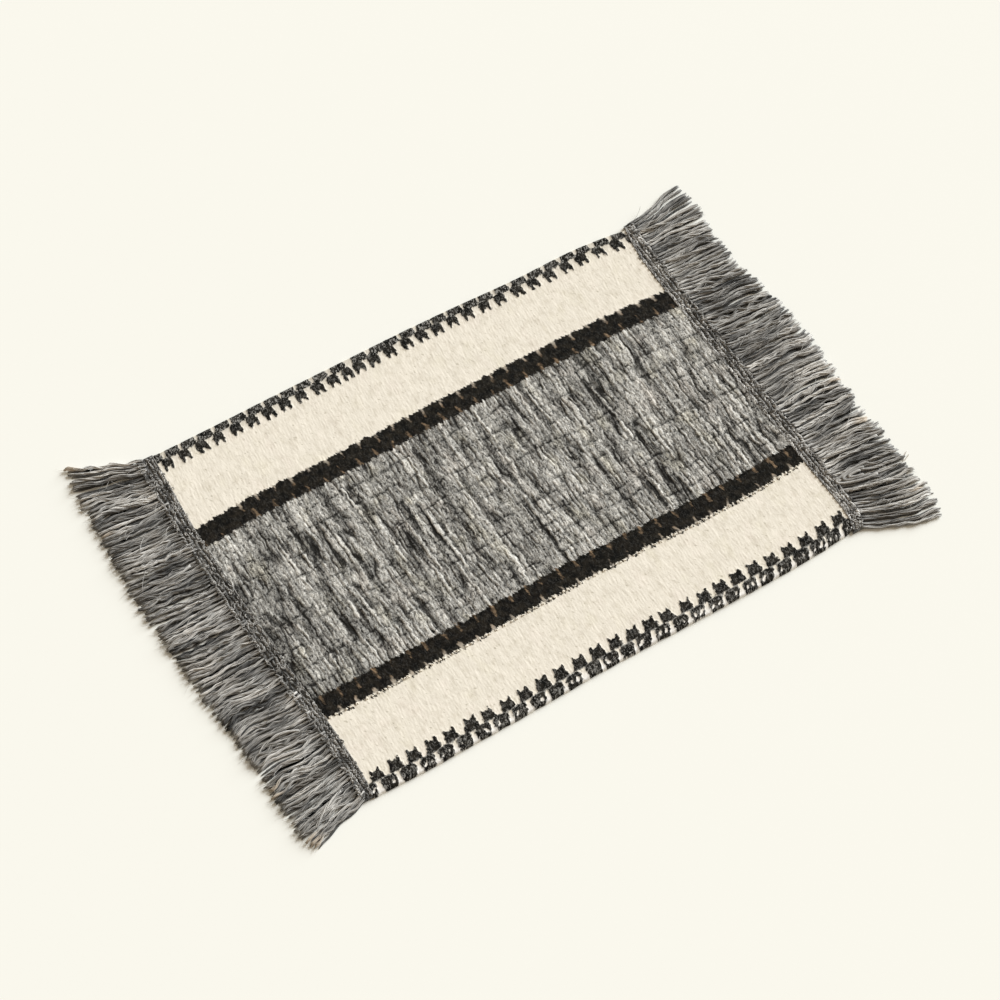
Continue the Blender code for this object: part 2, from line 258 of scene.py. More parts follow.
# The black bands: rows of notches that reach in from each long side.
BAND_NOTCHES = (
    # foot across, tip across, pitch, first notch along
    (0.0893, 0.0830, 0.01344, 0.0079),
    (0.0724, 0.0780, 0.01353, 0.0010),
    (-0.0695, -0.0768, 0.01320, 0.0057),
    (-0.0868, -0.0822, 0.01330, 0.0114),
)
NOTCH_FOOT, NOTCH_TIP = 0.0011, 0.0006      # radii of a notch at its two ends
HOOK_PITCH = 0.0031         # between the small black hooks under the near band
LOOP_PITCH = HOOK_PITCH / 0.6   # between the cream loops there

# Lines across the plan that part the cloth's colours.
MARL_REACH = (-0.0709, 0.0727)  # the marl's yarns run a little way under the bands
CREAM_FROM = 0.0785         # marl colour inside this distance from the middle, cream outside it
BORDERS_FROM = 0.13         # the black is a band's inside this distance and a border's outside it
OUTER_ROWS_FROM = 0.1455    # the borders' outer rows lie outside this distance
BANDS_MIDDLE = 0.0012       # half-way between the bands' outer sides
NEAR_ARCH, NEAR_ARCH_REACH = -0.1451, 0.0017    # where a painted highlight, a pale arch, tops the near outer blocks

# Shades of the cream yarn, as what its colour is multiplied by.
CREAM_DEEP, CREAM_DENT = (0.80, 0.785, 0.73), (0.67, 0.66, 0.62)
CREAM_PALE = (1.05, 1.05, 1.05)

# The cells that stand for yarns: width along the plan, and length across it.
MARL_COLUMN, MARL_GRAIN, MARL_SLUB = (0.0041, 0.042), (0.0021, 0.0066), (0.0075, 0.0150)
PANEL_YARN = (0.00135, 0.0042)
MARL_TONE = 0.708           # middle tone of the marl, from 0 for dark to 1 for light
EDGE_RIPPLE = 0.0004        # how far the long edges ripple
EDGE_ROUNDING = 0.0011      # the face bends down within this distance of a long edge

STREWN_STREAKS = 105        # streaks strewn at random besides those of the table

# Long streaks in the marl that catch the eye, pale or dark.
MARL_STREAKS = (
    # along, start across, end across, width, tone
    (0.0268, -0.0640, -0.0220, 0.0017, 0.80),
    (0.0455, 0.0300, 0.0690, 0.0016, 0.78),
    (0.0560, 0.0080, 0.0600, 0.0014, 0.75),
    (0.0652, -0.0150, 0.0350, 0.0022, 0.78),
    (0.0802, 0.0060, 0.0350, 0.0042, 0.94),
    (0.0835, -0.0240, 0.0050, 0.0030, 0.80),
    (0.0560, -0.0330, 0.0240, 0.0020, 0.72),
    (0.1020, 0.0240, 0.0660, 0.0020, 0.96),
    (0.1062, 0.0260, 0.0690, 0.0014, 0.03),
    (0.1215, -0.0690, -0.0350, 0.0022, 0.98),
    (0.1255, -0.0680, -0.0420, 0.0016, 0.05),
    (0.1305, 0.0040, 0.0330, 0.0034, 0.05),
    (0.1545, -0.0700, -0.0100, 0.0018, 0.10),
    (0.1592, -0.0680, 0.0150, 0.0016, 0.74),
    (0.1700, -0.0690, -0.0360, 0.0036, 0.99),
    (0.1748, -0.0650, -0.0200, 0.0028, 0.72),
    (0.1640, -0.0700, -0.0450, 0.0026, 0.03),
    (0.2120, 0.0330, 0.0700, 0.0019, 0.98),
    (0.2235, -0.0560, -0.0250, 0.0016, 0.06),
    (0.2460, 0.0300, 0.0700, 0.0024, 0.92),
    (0.2520, 0.0380, 0.0680, 0.0015, 0.05),
    (0.2750, 0.0350, 0.0690, 0.0020, 0.95),
    (0.2895, 0.0180, 0.0640, 0.0016, 0.05),
    (0.2925, -0.0150, 0.0420, 0.0023, 0.97),
    (0.2850, -0.0700, -0.0400, 0.0026, 0.98),
    (0.2810, -0.0690, -0.0420, 0.0034, 0.06),
    (0.3250, -0.0400, 0.0180, 0.0018, 0.74),
    (0.3360, -0.0100, 0.0460, 0.0018, 0.80),
    (0.3430, -0.0280, 0.0250, 0.0022, 0.72),
    (0.3700, -0.0300, 0.0380, 0.0016, 0.78),
)

# Lines where a binding thread shows across the marl, along the whole length.
BINDING_LINES = (
    # across, share of the length where it shows
    (0.0600, 0.35),
    (0.0457, 0.60),
    (0.0317, 0.75),
    (0.0176, 0.75),
    (0.0040, 0.45),
    (-0.0080, 0.50),
    (-0.0168, 0.60),
    (-0.0290, 0.60),
    (-0.0365, 0.60),
    (-0.0460, 0.65),
    (-0.0590, 0.40),
)

# The cloth's three panels, each with the spacing of its grid along and across.
PANELS = (
    # name, step along, (from, to, step across) spans
    ("panel_marl", 0.00055, ((NEAR_BLACK[1], FAR_BLACK[0], 0.00119),)),
    ("panel_far", 0.00062, ((FAR_BLACK[0], FAR_BLACK[1], 0.00080), (FAR_BLACK[1], 0.0905, 0.00060),
                            (0.0905, 0.1355, 0.00160), (0.1355, 0.1515, 0.00070),
                            (0.1515, FAR_EDGE, 0.00033))),
    ("panel_near", 0.00062, ((NEAR_EDGE, -0.1520, 0.00033), (-0.1520, -0.1340, 0.00070),
                             (-0.1340, -0.0892, 0.00160), (-0.0892, NEAR_BLACK[0], 0.00050),
                             (NEAR_BLACK[0], NEAR_BLACK[1], 0.00080))),
)

# The picture's light and view.
SKY_COLOUR, SUN_COLOUR = (1.0, 0.870, 0.700, 1.0), (0.966, 1.019, 1.066)
SUN_FROM = (1.0, 0.22, 0.45)    # direction that the soft light comes from
PICTURE_MIDDLE = (-0.0024, -0.0013, 0.0)


# ---- Sizes and colours that a user would change ----------------------------------------------

def size(name, description, default):
    """A length in metres."""
    return bpy.props.FloatProperty(name=name, description=description, default=default,
                                   unit="LENGTH", precision=5, min=0.0)


def colour(name, description, default):
    """A linear colour."""
    return bpy.props.FloatVectorProperty(name=name, description=description, default=default,
                                         subtype="COLOR", size=3, min=0.0, max=1.0)


class PlacematCloth(bpy.types.PropertyGroup):
    """Sizes and yarn colours of the woven cloth."""
    ground: size("Ground", "Height of the valleys between the yarns", 0.0024)
    panel_rib: size("Panel rib", "Height of a panel's yarns above the valleys", 0.00025)
    marl_rib: size("Marl rib", "Height of the marl's yarns above the valleys", 0.0010)
    black_rise: size("Black rise", "Extra height of the black yarn", 0.0003)
    loop: size("Loop", "Thickness of the cream loops at the near black band", 0.0009)
    cream: colour("Cream", "Undyed cotton of the panels", (0.802, 0.742, 0.640))
    black: colour("Black", "Black wool of the bands and teeth", (0.0030, 0.0027, 0.0019))
    tan: colour("Tan", "Brown yarn in the notches of the bands", (0.300, 0.205, 0.125))
    marl_dark: colour("Marl dark", "Darkest fibre of the marl", (0.018, 0.017, 0.015))
    marl_light: colour("Marl light", "Lightest fibre of the marl", (0.760, 0.733, 0.672))


class PlacematFringe(bpy.types.PropertyGroup):
    """Sizes and colours of the headings and fringes."""
    strands: bpy.props.IntProperty(name="Strands", default=116, min=10, max=200,
                                   description="Loosely twisted strands in each fringe")
    yarns: bpy.props.IntProperty(name="Yarns", default=7, min=2, max=12,
                                 description="Yarns in each strand")
    thickness: size("Yarn thickness", "Thickness of one fringe yarn", 0.00078)
    spread: size("Strand spread", "Radius round which a strand's yarns turn", 0.00088)
    cord: size("Heading ply", "Thickness of one ply of the heading's cords", 0.0014)
    twist: size("Heading twist", "Length of one turn of the heading's cords", 0.0043)
    dark: colour("Dark", "Darkest fringe yarn", (0.014, 0.0135, 0.0125))
    light: colour("Light", "Lightest fringe yarn", (0.720, 0.690, 0.640))
    tip: colour("Tip", "Weathered tips", (0.590, 0.500, 0.395))


class PlacematStage(bpy.types.PropertyGroup):
    """Floor, light and camera."""
    floor: colour("Floor", "Pale plain surface under the mat", (0.868, 0.858, 0.798))
    sun: bpy.props.FloatProperty(name="Sun", description="Strength of the soft light", default=5.75,
                                 min=0.0)
    sun_width: bpy.props.FloatProperty(name="Sun width", description="Angle that the light fills",
                                       default=math.radians(38), subtype="ANGLE")
    sky: bpy.props.FloatProperty(name="Sky", description="Strength of the light from all round",
                                 default=0.385, min=0.0)
    elevation: bpy.props.FloatProperty(name="Elevation", description="Camera above the horizon",
                                       default=math.radians(58.7), subtype="ANGLE")
    azimuth: bpy.props.FloatProperty(name="Azimuth", description="Camera round the mat",
                                     default=math.radians(-31.2), subtype="ANGLE")
    distance: size("Distance", "Camera to the middle of the picture", 2.067)
    lens: bpy.props.FloatProperty(name="Lens", description="Focal length in millimetres",
                                  default=108.0, unit="CAMERA")


# ---- Curves of the plan ----------------------------------------------------------------------

def smooth_line(table, column, stations):
    """Cubic Hermite curve through a table's rows, with each row's slope taken between its
    neighbours: h(s) = v0 (1 - e) + v1 e + span m0 s (1 - s)^2 - span m1 s^2 (1 - s), where
    e = s^2 (3 - 2 s)."""
    at, value = table[:, 0], table[:, column]
    stations = np.clip(stations, at[0], at[-1])
    index = np.clip(np.searchsorted(at, stations, side="left") - 1, 0, len(at) - 2)
    rows = np.arange(len(at))
    before, after = np.maximum(rows - 1, 0), np.minimum(rows + 1, len(at) - 1)
    slope = (value[after] - value[before]) / (at[after] - at[before])
    span = at[index + 1] - at[index]
    share = (stations - at[index]) / span
    eased = share * share * (3 - 2 * share)
    line = value[index] + (value[index + 1] - value[index]) * eased
    line += span * slope[index] * share * (1 - share) ** 2
    return line - span * slope[index + 1] * share * share * (1 - share)


def place_across(x, across):
    """Real y of a plan line: the four wandering lines, with even shares between them."""
    lines = np.stack([smooth_line(LONG_LINES, column + 1, x) for column in range(4)])
    straight = np.array(STRAIGHT_LINES)
    index = np.clip(np.searchsorted(straight, across, side="left") - 1, 0, 2)
    share = (across - straight[index]) / (straight[index + 1] - straight[index])
    low = np.take_along_axis(lines, index[None], 0)[0]
    high = np.take_along_axis(lines, index[None] + 1, 0)[0]
    return low + (high - low) * share


def seam_place(end, across):
    """Real x where a plan line meets the seam of one end."""
    rough = smooth_line(END_LINES[end], SEAM, across)
    return smooth_line(END_LINES[end], SEAM, place_across(rough, across))


def place(along, across):
    """Real x and y of a point of the plan: x = left + (right - left) along / length between the
    two seams, moved with the frame, and y on the plan line's own curve there."""
    along, across = np.broadcast_arrays(along, across)
    left = seam_place("left", across) + SEAM_GAP / 2
    right = seam_place("right", across) - SEAM_GAP / 2
    x = left + (right - left) * along / LENGTH
    return x + SHIFT, place_across(x, across)


def frame_shift():
    """How far along X the frame's ground lies from the tables: the middle of its box less the
    middle of the tables' own outline."""
    low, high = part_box("woven_ground")
    across = np.linspace(NEAR_EDGE, FAR_EDGE, 60)
    x_left, x_right = seam_place("left", across), seam_place("right", across)
    return (low.x + high.x) / 2 - (x_left.min() + x_right.max()) / 2


SHIFT = frame_shift()


def lattice_noise(seed, x, y):
    """Smooth noise from -1 to 1: random values on a square lattice, blended by smoothsteps."""
    table = np.random.default_rng(seed).uniform(-1, 1, (128, 128))
    x, y = np.broadcast_arrays(x, y)
    column, row = np.floor(x).astype(int), np.floor(y).astype(int)
    u, v = x - column, y - row
    u, v = u * u * (3 - 2 * u), v * v * (3 - 2 * v)
    corner = [table[(column + i) % 128, (row + j) % 128] for i, j in ((0, 0), (1, 0), (0, 1), (1, 1))]
    return (corner[0] * (1 - u) + corner[1] * u) * (1 - v) + (corner[2] * (1 - u) + corner[3] * u) * v


def cells(seed, x, y, shape):
    """Cells round points strewn one to a lattice rectangle of the shape's width and length: how
    much nearer a place is to its own point than to the next one, both in lattice steps, and a
    random number of its own point."""
    x, y = x / shape[0], y / shape[1]
    strewn = np.random.default_rng(seed).uniform(0.05, 0.95, (3, 256, 256))
    column, row = np.floor(x).astype(int), np.floor(y).astype(int)
    nearest, second = np.full(x.shape, 9.0), np.full(x.shape, 9.0)
    own = np.zeros(x.shape)
    for i in (-1, 0, 1):
        for j in (-1, 0, 1):
            at_x, at_y, number = strewn[:, (column + i) % 256, (row + j) % 256]
            distance = np.hypot(column + i + at_x - x, row + j + at_y - y)
            second = np.minimum(second, np.maximum(nearest, distance))
            own = np.where(distance < nearest, number, own)
            nearest = np.minimum(nearest, distance)
    return second - nearest, own


def stroke_depth(u, v, start, end, start_radius, end_radius):
    """Depth inside a stroke whose radius runs evenly from one end's to the other's."""
    run_u, run_v = end[0] - start[0], end[1] - start[1]
    share = ((u - start[0]) * run_u + (v - start[1]) * run_v) / (run_u * run_u + run_v * run_v)
    share = np.clip(share, 0, 1)
    radius = start_radius + (end_radius - start_radius) * share
    return radius - np.hypot(u - start[0] - share * run_u, v - start[1] - share * run_v)


# ---- Meshes ----------------------------------------------------------------------------------

def build_mesh(name, points, faces, uv, values, material, sharp_angle=None):
    """Mesh object from arrays: faces is a list of index arrays, one for each number of corners,
    uv one pair for each corner in the same order, and values named numbers for each point."""
    mesh = bpy.data.meshes.new(name)
    mesh.vertices.add(len(points))
    mesh.vertices.foreach_set("co", np.ascontiguousarray(points, np.float32).ravel())
    corners = np.concatenate([face.ravel() for face in faces]).astype(np.int32)
    totals = np.concatenate([np.full(len(face), face.shape[1]) for face in faces])
    starts = np.concatenate([[0], np.cumsum(totals)[:-1]]).astype(np.int32)
    mesh.loops.add(len(corners))
    mesh.loops.foreach_set("vertex_index", corners)
    mesh.polygons.add(len(totals))
    mesh.polygons.foreach_set("loop_start", starts)
    mesh.polygons.foreach_set("use_smooth", np.ones(len(totals), bool))
    mesh.update(calc_edges=True)
    layer = mesh.uv_layers.new(name="plan")
    layer.data.foreach_set("uv", np.ascontiguousarray(uv, np.float32).ravel())
    for label, numbers in values.items():
        attribute = mesh.attributes.new(label, "FLOAT", "POINT")
        attribute.data.foreach_set("value", np.ascontiguousarray(numbers, np.float32).ravel())
    mesh.validate()
    if sharp_angle:
        mesh.set_sharp_from_angle(angle=sharp_angle)
    mesh.materials.append(material)
    piece = bpy.data.objects.new(name, mesh)
    bpy.context.scene.collection.objects.link(piece)
    return piece


def tubes(paths, half_width, half_height, sides):
    """Closed tubes along many paths at once. A ring of each is the path's point plus
    cos(a) width across it and sin(a) height above it, and a pole closes each end. Returns
    points, faces and, for each corner, (tube number + share round, distance along)."""
    count, steps = paths.shape[:2]
    tangent = np.gradient(paths, axis=1)
    tangent /= np.linalg.norm(tangent, axis=2, keepdims=True) + 1e-12
    side = np.cross(tangent, (0.0, 0.0, 1.0))
    side /= np.linalg.norm(side, axis=2, keepdims=True) + 1e-12
    lift = np.cross(side, tangent)
    angle = 2 * np.pi * (np.arange(sides) + 0.5) / sides
    ring = paths[:, :, None] + side[:, :, None] * (np.cos(angle) * half_width[..., None])[..., None]
    ring = ring + lift[:, :, None] * (np.sin(angle) * half_height[..., None])[..., None]
    points = np.concatenate([ring.reshape(-1, 3), paths[:, 0], paths[:, -1]])

    tube, step, turn = np.meshgrid(np.arange(count), np.arange(steps - 1), np.arange(sides),
                                   indexing="ij")
    this = (tube * steps + step) * sides + turn
    beside = (tube * steps + step) * sides + (turn + 1) % sides
    quads = np.stack([this, this + sides, beside + sides, beside], -1).reshape(-1, 4)
    number, around = np.meshgrid(np.arange(count), np.arange(sides), indexing="ij")
    following = (around + 1) % sides
    first = number * steps * sides
    last = first + (steps - 1) * sides
    start_pole, end_pole = count * steps * sides + number, count * steps * sides + count + number
    start_cap = np.stack([start_pole, first + around, first + following], -1).reshape(-1, 3)
    end_cap = np.stack([end_pole, last + following, last + around], -1).reshape(-1, 3)

    run = np.linalg.norm(np.diff(paths, axis=1), axis=2)
    run = np.concatenate([np.zeros((count, 1)), np.cumsum(run, axis=1)], axis=1)
    low, high = tube + 0.02 + 0.96 * turn / sides, tube + 0.02 + 0.96 * (turn + 1) / sides
    here, ahead = run[tube, step], run[tube, step + 1]
    uv = np.stack([np.stack([low, low, high, high], -1), np.stack([here, ahead, ahead, here], -1)], -1)
    middle = number + 0.5
    cap_uv = [np.stack([np.stack([middle] * 3, -1), np.stack([run[number, end]] * 3, -1)], -1)
              for end in (0, steps - 1)]
    uv = np.concatenate([part.reshape(-1, 2) for part in (uv, *cap_uv)])
    return points, [quads, np.concatenate([start_cap, end_cap])], uv


def yarn_piece(name, paths, half_width, half_height, sides, tone, tip, material):
    """One piece of many yarns. Half width and height, tone and tip are one number for all yarns,
    one for each, or one for each ring of each, and the poles take those of their end rings."""
    count, steps = paths.shape[:2]
    widths, heights = (np.broadcast_to(half, (count, steps)) for half in (half_width, half_height))
    points, faces, uv = tubes(paths, widths, heights, sides)
    values = {}
    for label, numbers in (("tone", tone), ("tip", tip)):
        numbers = np.broadcast_to(numbers, (count, steps))
        values[label] = np.concatenate([np.repeat(numbers.ravel(), sides), numbers[:, 0], numbers[:, -1]])
    return build_mesh(name, points, faces, uv, values, material)


# ---- Materials -------------------------------------------------------------------------------

class Shading:
    """A material's node tree with short calls for its number and colour fields."""

    def __init__(self, name, roughness, sheen):
        self.material = bpy.data.materials.new(name)
        self.material.use_nodes = True
        self.tree = self.material.node_tree
        self.shader = self.tree.nodes["Principled BSDF"]
        self.shader.inputs["Roughness"].default_value = roughness
        self.shader.inputs["Specular IOR Level"].default_value = 0.1
        self.shader.inputs["Sheen Weight"].default_value = sheen
        self.shader.inputs["Sheen Roughness"].default_value = 0.5

    def node(self, kind, **settings):
        """A node with its settings."""
        node = self.tree.nodes.new(kind)
        for key, value in settings.items():
            setattr(node, key, value)
        return node

    def join(self, value, socket):
        """Links a field to a socket, or sets a plain value on it."""
        if isinstance(value, bpy.types.NodeSocket):
            self.tree.links.new(value, socket)
        else:
            socket.default_value = value

    def math(self, operation, *values):
        """One Math node."""
        node = self.node("ShaderNodeMath", operation=operation)
        for value, socket in zip(values, node.inputs):
            self.join(value, socket)
        return node.outputs[0]

    def plan(self):
        """The piece's own UV map as two numbers."""
        split = self.node("ShaderNodeSeparateXYZ")
        self.join(self.node("ShaderNodeUVMap", uv_map="plan").outputs[0], split.inputs[0])
        return split.outputs[0], split.outputs[1]

    def value(self, label):
        """A number kept in the piece's points."""
        return self.node("ShaderNodeAttribute", attribute_name=label).outputs["Fac"]

    def noise(self, x, y, scale_x, scale_y, detail=2.0, roughness=0.55, seed=0.0, warp=0.0):
        """Noise over two fields, each with its own scale, from 0 to 1; a warp curls it."""
        vector = self.node("ShaderNodeCombineXYZ")
        self.join(self.math("MULTIPLY", x, scale_x), vector.inputs[0])
        self.join(self.math("MULTIPLY", y, scale_y), vector.inputs[1])
        vector.inputs[2].default_value = seed
        node = self.node("ShaderNodeTexNoise", noise_dimensions="3D")
        self.join(vector.outputs[0], node.inputs["Vector"])
        node.inputs["Scale"].default_value = 1.0
        node.inputs["Detail"].default_value = detail
        node.inputs["Roughness"].default_value = roughness
        node.inputs["Distortion"].default_value = warp
        return node.outputs["Fac"]

    def range(self, value, low, high, to_low=0.0, to_high=1.0):
        """A field mapped from one range to another, clamped."""
        node = self.node("ShaderNodeMapRange", clamp=True)
        for number, socket in zip((value, low, high, to_low, to_high), node.inputs):
            self.join(number, socket)
        return node.outputs[0]

    def blend(self, value, *parts):
        """A field plus others, each mapped first: (field, low, high, to low, to high)."""
        for part in parts:
            value = self.math("ADD", value, self.range(*part))
        return value

    def mix(self, share, first, second):
        """Two colours mixed by a share."""
        node = self.node("ShaderNodeMix", data_type="RGBA")
        self.join(share, node.inputs[0])
        for value, socket in ((first, node.inputs[6]), (second, node.inputs[7])):
            self.join((*value, 1.0) if isinstance(value, (tuple, list)) else value, socket)
        return node.outputs[2]

    def tint(self, share, shade, by):
        """A colour multiplied by another, by a share."""
        node = self.node("ShaderNodeMix", data_type="RGBA", blend_type="MULTIPLY")
        self.join(share, node.inputs[0])
        self.join(shade, node.inputs[6])
        self.join((*by, 1.0), node.inputs[7])
        return node.outputs[2]

    def ramp(self, value, stops):
        """A colour ramp: (place, colour) pairs."""
        node = self.node("ShaderNodeValToRGB")
        self.join(value, node.inputs[0])
        elements = node.color_ramp.elements
        while len(elements) < len(stops):
            elements.new(0.5)
        for element, (position, shade) in zip(elements, stops):
            element.position = position
            element.color = (*shade, 1.0)
        return node.outputs[0]

    def finish(self, shade, height=None, depth=0.0, strength=0.6):
        """Plugs the colour and the bump in."""
        self.join(shade, self.shader.inputs["Base Color"])
        if height is not None:
            bump = self.node("ShaderNodeBump")
            bump.inputs["Strength"].default_value = strength
            bump.inputs["Distance"].default_value = depth
            self.join(height, bump.inputs["Height"])
            self.join(bump.outputs[0], self.shader.inputs["Normal"])
        return self.material


def shade_between(dark, light, share):
    """Colour at a share from dark to light."""
    return tuple(low + (high - low) * share for low, high in zip(dark, light))


def scaled(shade, by):
    """Colour with each of its parts multiplied, up to 1."""
    return tuple(min(part * factor, 1.0) for part, factor in zip(shade, by))


def marl_ramp(shading, tone, dark, light):
    """Marl yarn: most of it a middle grey, with few really pale or dark places."""
    stops = [(at, shade_between(dark, light, share)) for at, share in
             ((0.0, 0.0), (0.25, 0.15), (0.50, 0.36), (0.75, 0.63), (1.0, 1.0))]
    return shading.ramp(tone, stops)


class ClothShading(Shading):
    """Shading of the woven ground, with the fields that its yarns share. Each point holds its
    yarn's tone, how deep it lies inside a yarn (crevice, 0 in the valleys, which are darkened as
    painted shade), its depth inside the black pattern and inside the notches, and how specked its black is."""

    def __init__(self, sizes):
        super().__init__("placemat_woven_cloth", roughness=0.95, sheen=0.02)
        self.sizes = sizes
        self.along, self.across = self.plan()
        self.tone, self.crevice = self.value("tone"), self.value("crevice")
        self.black, self.notch, self.speck = map(self.value, ("black", "notch", "speck"))
        self.slant = self.math("ADD", self.along, self.math("MULTIPLY", self.across, 0.45))
        self.ticks = self.plan_noise(1.0, 500.0, 500.0, detail=2.5, roughness=0.6, warp=1.8)
        self.fibres = self.plan_noise(2.0, 1700.0, 1000.0)
        self.stain = self.plan_noise(7.0, 70.0, 40.0)
        self.flecks = self.plan_noise(9.0, 680.0, 400.0, warp=1.2)

    def plan_noise(self, seed, scale_along, scale_across, **settings):
        """Noise over the plan."""
        return self.noise(self.along, self.across, scale_along, scale_across, seed=seed, **settings)

    def distance(self, line):
        """Distance on the plan from a line that runs along it."""
        return self.math("ABSOLUTE", self.math("ADD", self.across, -line))

    def marl_shade(self):
        """Grey marl: the yarn's tone, broken up by ticks, fibres, dark flecks and pale wisps, with
        painted shade in the crevices and a little painted light on the yarns' tops, and faint warm and pink
        stains."""
        wisps = self.plan_noise(11.0, 1500.0, 190.0, detail=1.0)
        # painted shade: the crevice field darkens the valleys between yarns and lightens their tops a
        # little
        mixed = self.blend(self.tone, (self.ticks, 0.32, 0.68, -0.18, 0.18),
                           (self.fibres, 0.3, 0.7, -0.06, 0.06), (self.flecks, 0.55, 0.63, 0.0, -0.44),
                           (wisps, 0.58, 0.68, 0.0, 0.07), (self.crevice, 0.0, 1.0, -0.74, 0.07))
        shade = marl_ramp(self, mixed, self.sizes.marl_dark, self.sizes.marl_light)
        shade = self.tint(self.range(self.stain, 0.55, 0.70, 0.0, 0.6), shade, (1.0, 0.97, 0.86))
        return self.tint(self.range(self.stain, 0.45, 0.32, 0.0, 0.6), shade, (1.0, 0.955, 0.93))

    def cream_shade(self):
        """Undyed cotton: darker in slivers and dimples, with painted shade in the crevices of its
        darker yarns, paler in clouds, and faintly mottled and stained."""
        slivers = self.noise(self.slant, self.across, 900.0, 300.0, detail=3.0, roughness=0.6, seed=4.0)
        dimples = self.noise(self.slant, self.across, 560.0, 300.0, detail=1.0, seed=10.0)
        clouds = self.plan_noise(5.0, 160.0, 70.0)
        mottle = self.plan_noise(14.0, 150.0, 120.0, detail=3.0, roughness=0.6)
        # painted shade in the crevices between the cream yarns
        hollow_shade = self.math("MULTIPLY", self.range(self.crevice, 0.0, 0.6, 1.0, 0.0),
                           self.range(self.tone, 0.4, 0.9))
        plain = tuple(self.sizes.cream)
        deep, dent, pale = (scaled(plain, by) for by in (CREAM_DEEP, CREAM_DENT, CREAM_PALE))
        shade = self.mix(self.range(slivers, 0.38, 0.56, 0.19, 0.0), plain, deep)
        shade = self.mix(self.range(clouds, 0.45, 0.7), shade, pale)
        shade = self.mix(self.math("MULTIPLY", hollow_shade, 0.30), shade, deep)
        shade = self.mix(self.range(dimples, 0.635, 0.76, 0.0, 0.85), shade, dent)
        shade = self.tint(self.range(mottle, 0.48, 0.70), shade, (0.88, 0.87, 0.85))
        shade = self.tint(self.range(self.stain, 0.55, 0.70, 0.0, 0.8), shade, (0.97, 0.97, 0.94))
        return self.tint(self.range(self.stain, 0.45, 0.32, 0.0, 0.5), shade, (1.0, 0.98, 0.99))

    def black_shade(self):
        """Black wool: brownish in clouds, grey with fibres where it is specked, and edged by a painted
        highlight, a pale arch, at the top of the near border's outer blocks."""
        dust, speck, arch = (shade_between(self.sizes.marl_dark, self.sizes.marl_light, share)
                             for share in (0.08, 0.34, 0.40))
        clouds = self.plan_noise(8.0, 210.0, 190.0, detail=3.0)
        shade = self.mix(self.range(clouds, 0.40, 0.75), tuple(self.sizes.black), (0.021, 0.0165, 0.0105))
        dusty = self.math("MULTIPLY", self.range(clouds, 0.47, 0.62, 0.0, 0.30), self.speck)
        shade = self.mix(dusty, shade, dust)
        specked = self.math("MULTIPLY", self.range(self.flecks, 0.53, 0.60), self.speck)
        shade = self.mix(specked, shade, speck)
        # painted highlight: a pale arch along the top of the near border's outer blocks
        arch_highlight_share = self.math("MULTIPLY", self.range(self.black, 0.0003, 0.0010, 1.0, 0.0),
                           self.math("LESS_THAN", self.distance(NEAR_ARCH), NEAR_ARCH_REACH))
        arch_highlight_share = self.math("MULTIPLY", arch_highlight_share, self.range(self.flecks, 0.40, 0.52))
        return self.mix(arch_highlight_share, shade, arch)

    def notch_shade(self, cream):
        """Brown yarn of the bands' notches, which turns to cream towards a band's outer side."""
        tan = tuple(self.sizes.tan)
        patches = self.range(self.plan_noise(6.0, 260.0, 330.0), 0.38, 0.64)
        shade = self.mix(patches, scaled(tan, (0.30, 0.30, 0.30)), tan)
        return self.mix(self.range(self.distance(BANDS_MIDDLE), 0.0815, 0.0880, 0.0, 0.60), shade, cream)


def cloth_material(sizes):
    """The woven ground: marl between the middles of the bands and cream outside them, then the
    black pattern with ragged sides, and the notches in it."""
    s = ClothShading(sizes)
    ragged = s.plan_noise(3.0, 620.0, 260.0, detail=3.0, roughness=0.65)
    ragged = s.range(ragged, 0.2, 0.8, -0.0011, 0.0011)
    tufts = s.range(s.noise(s.slant, s.across, 700.0, 150.0, seed=12.0), 0.3, 0.7, -0.0012, 0.0012)
    banded = s.math("LESS_THAN", s.distance(0.0), BORDERS_FROM)
    ragged = s.math("ADD", ragged, s.math("MULTIPLY", banded, tufts))
    inner = s.math("LESS_THAN", s.distance(0.0), CREAM_FROM)

    cream = s.cream_shade()
    notch = s.notch_shade(cream)
    # painted light: the cream paler towards the near edge, whose wall faces away from the light
    cream = s.mix(s.range(s.across, -0.1462, -0.1522, 0.0, 0.85), cream, (0.86, 0.835, 0.80))
    # painted shade: the cream greyer across the far border, between its black blocks
    cream = s.tint(s.range(s.across, 0.1395, 0.1465, 0.0, 0.9), cream, (0.80, 0.80, 0.80))
    in_black = s.range(s.math("ADD", s.black, ragged), -0.00042, 0.00026)
    in_notch = s.range(s.math("ADD", s.notch, s.math("MULTIPLY", ragged, 0.8)), -0.0004, 0.0009, 0.0, 0.9)
    black = s.mix(in_notch, s.black_shade(), notch)
    shade = s.mix(in_black, s.mix(inner, cream, s.marl_shade()), black)
    height = s.math("ADD", s.ticks, s.math("MULTIPLY", s.fibres, 0.5))
    height = s.math("MULTIPLY", height, s.math("ADD", s.math("MULTIPLY", inner, 0.8), 0.2))
    return s.finish(shade, height, depth=0.0005, strength=0.8)


def loop_material(sizes):
    """Cream yarn of the loops, with fine twisted fibres."""
    s = Shading("placemat_cream_loops", roughness=0.95, sheen=0.06)
    around, along = s.plan()
    fibres = s.noise(around, along, 9.0, 900.0, detail=3.0, seed=1.0)
    plain = tuple(sizes.cream)
    shade = s.mix(s.range(fibres, 0.35, 0.6), scaled(plain, CREAM_DEEP), plain)
    return s.finish(shade, fibres, depth=0.0002, strength=0.6)


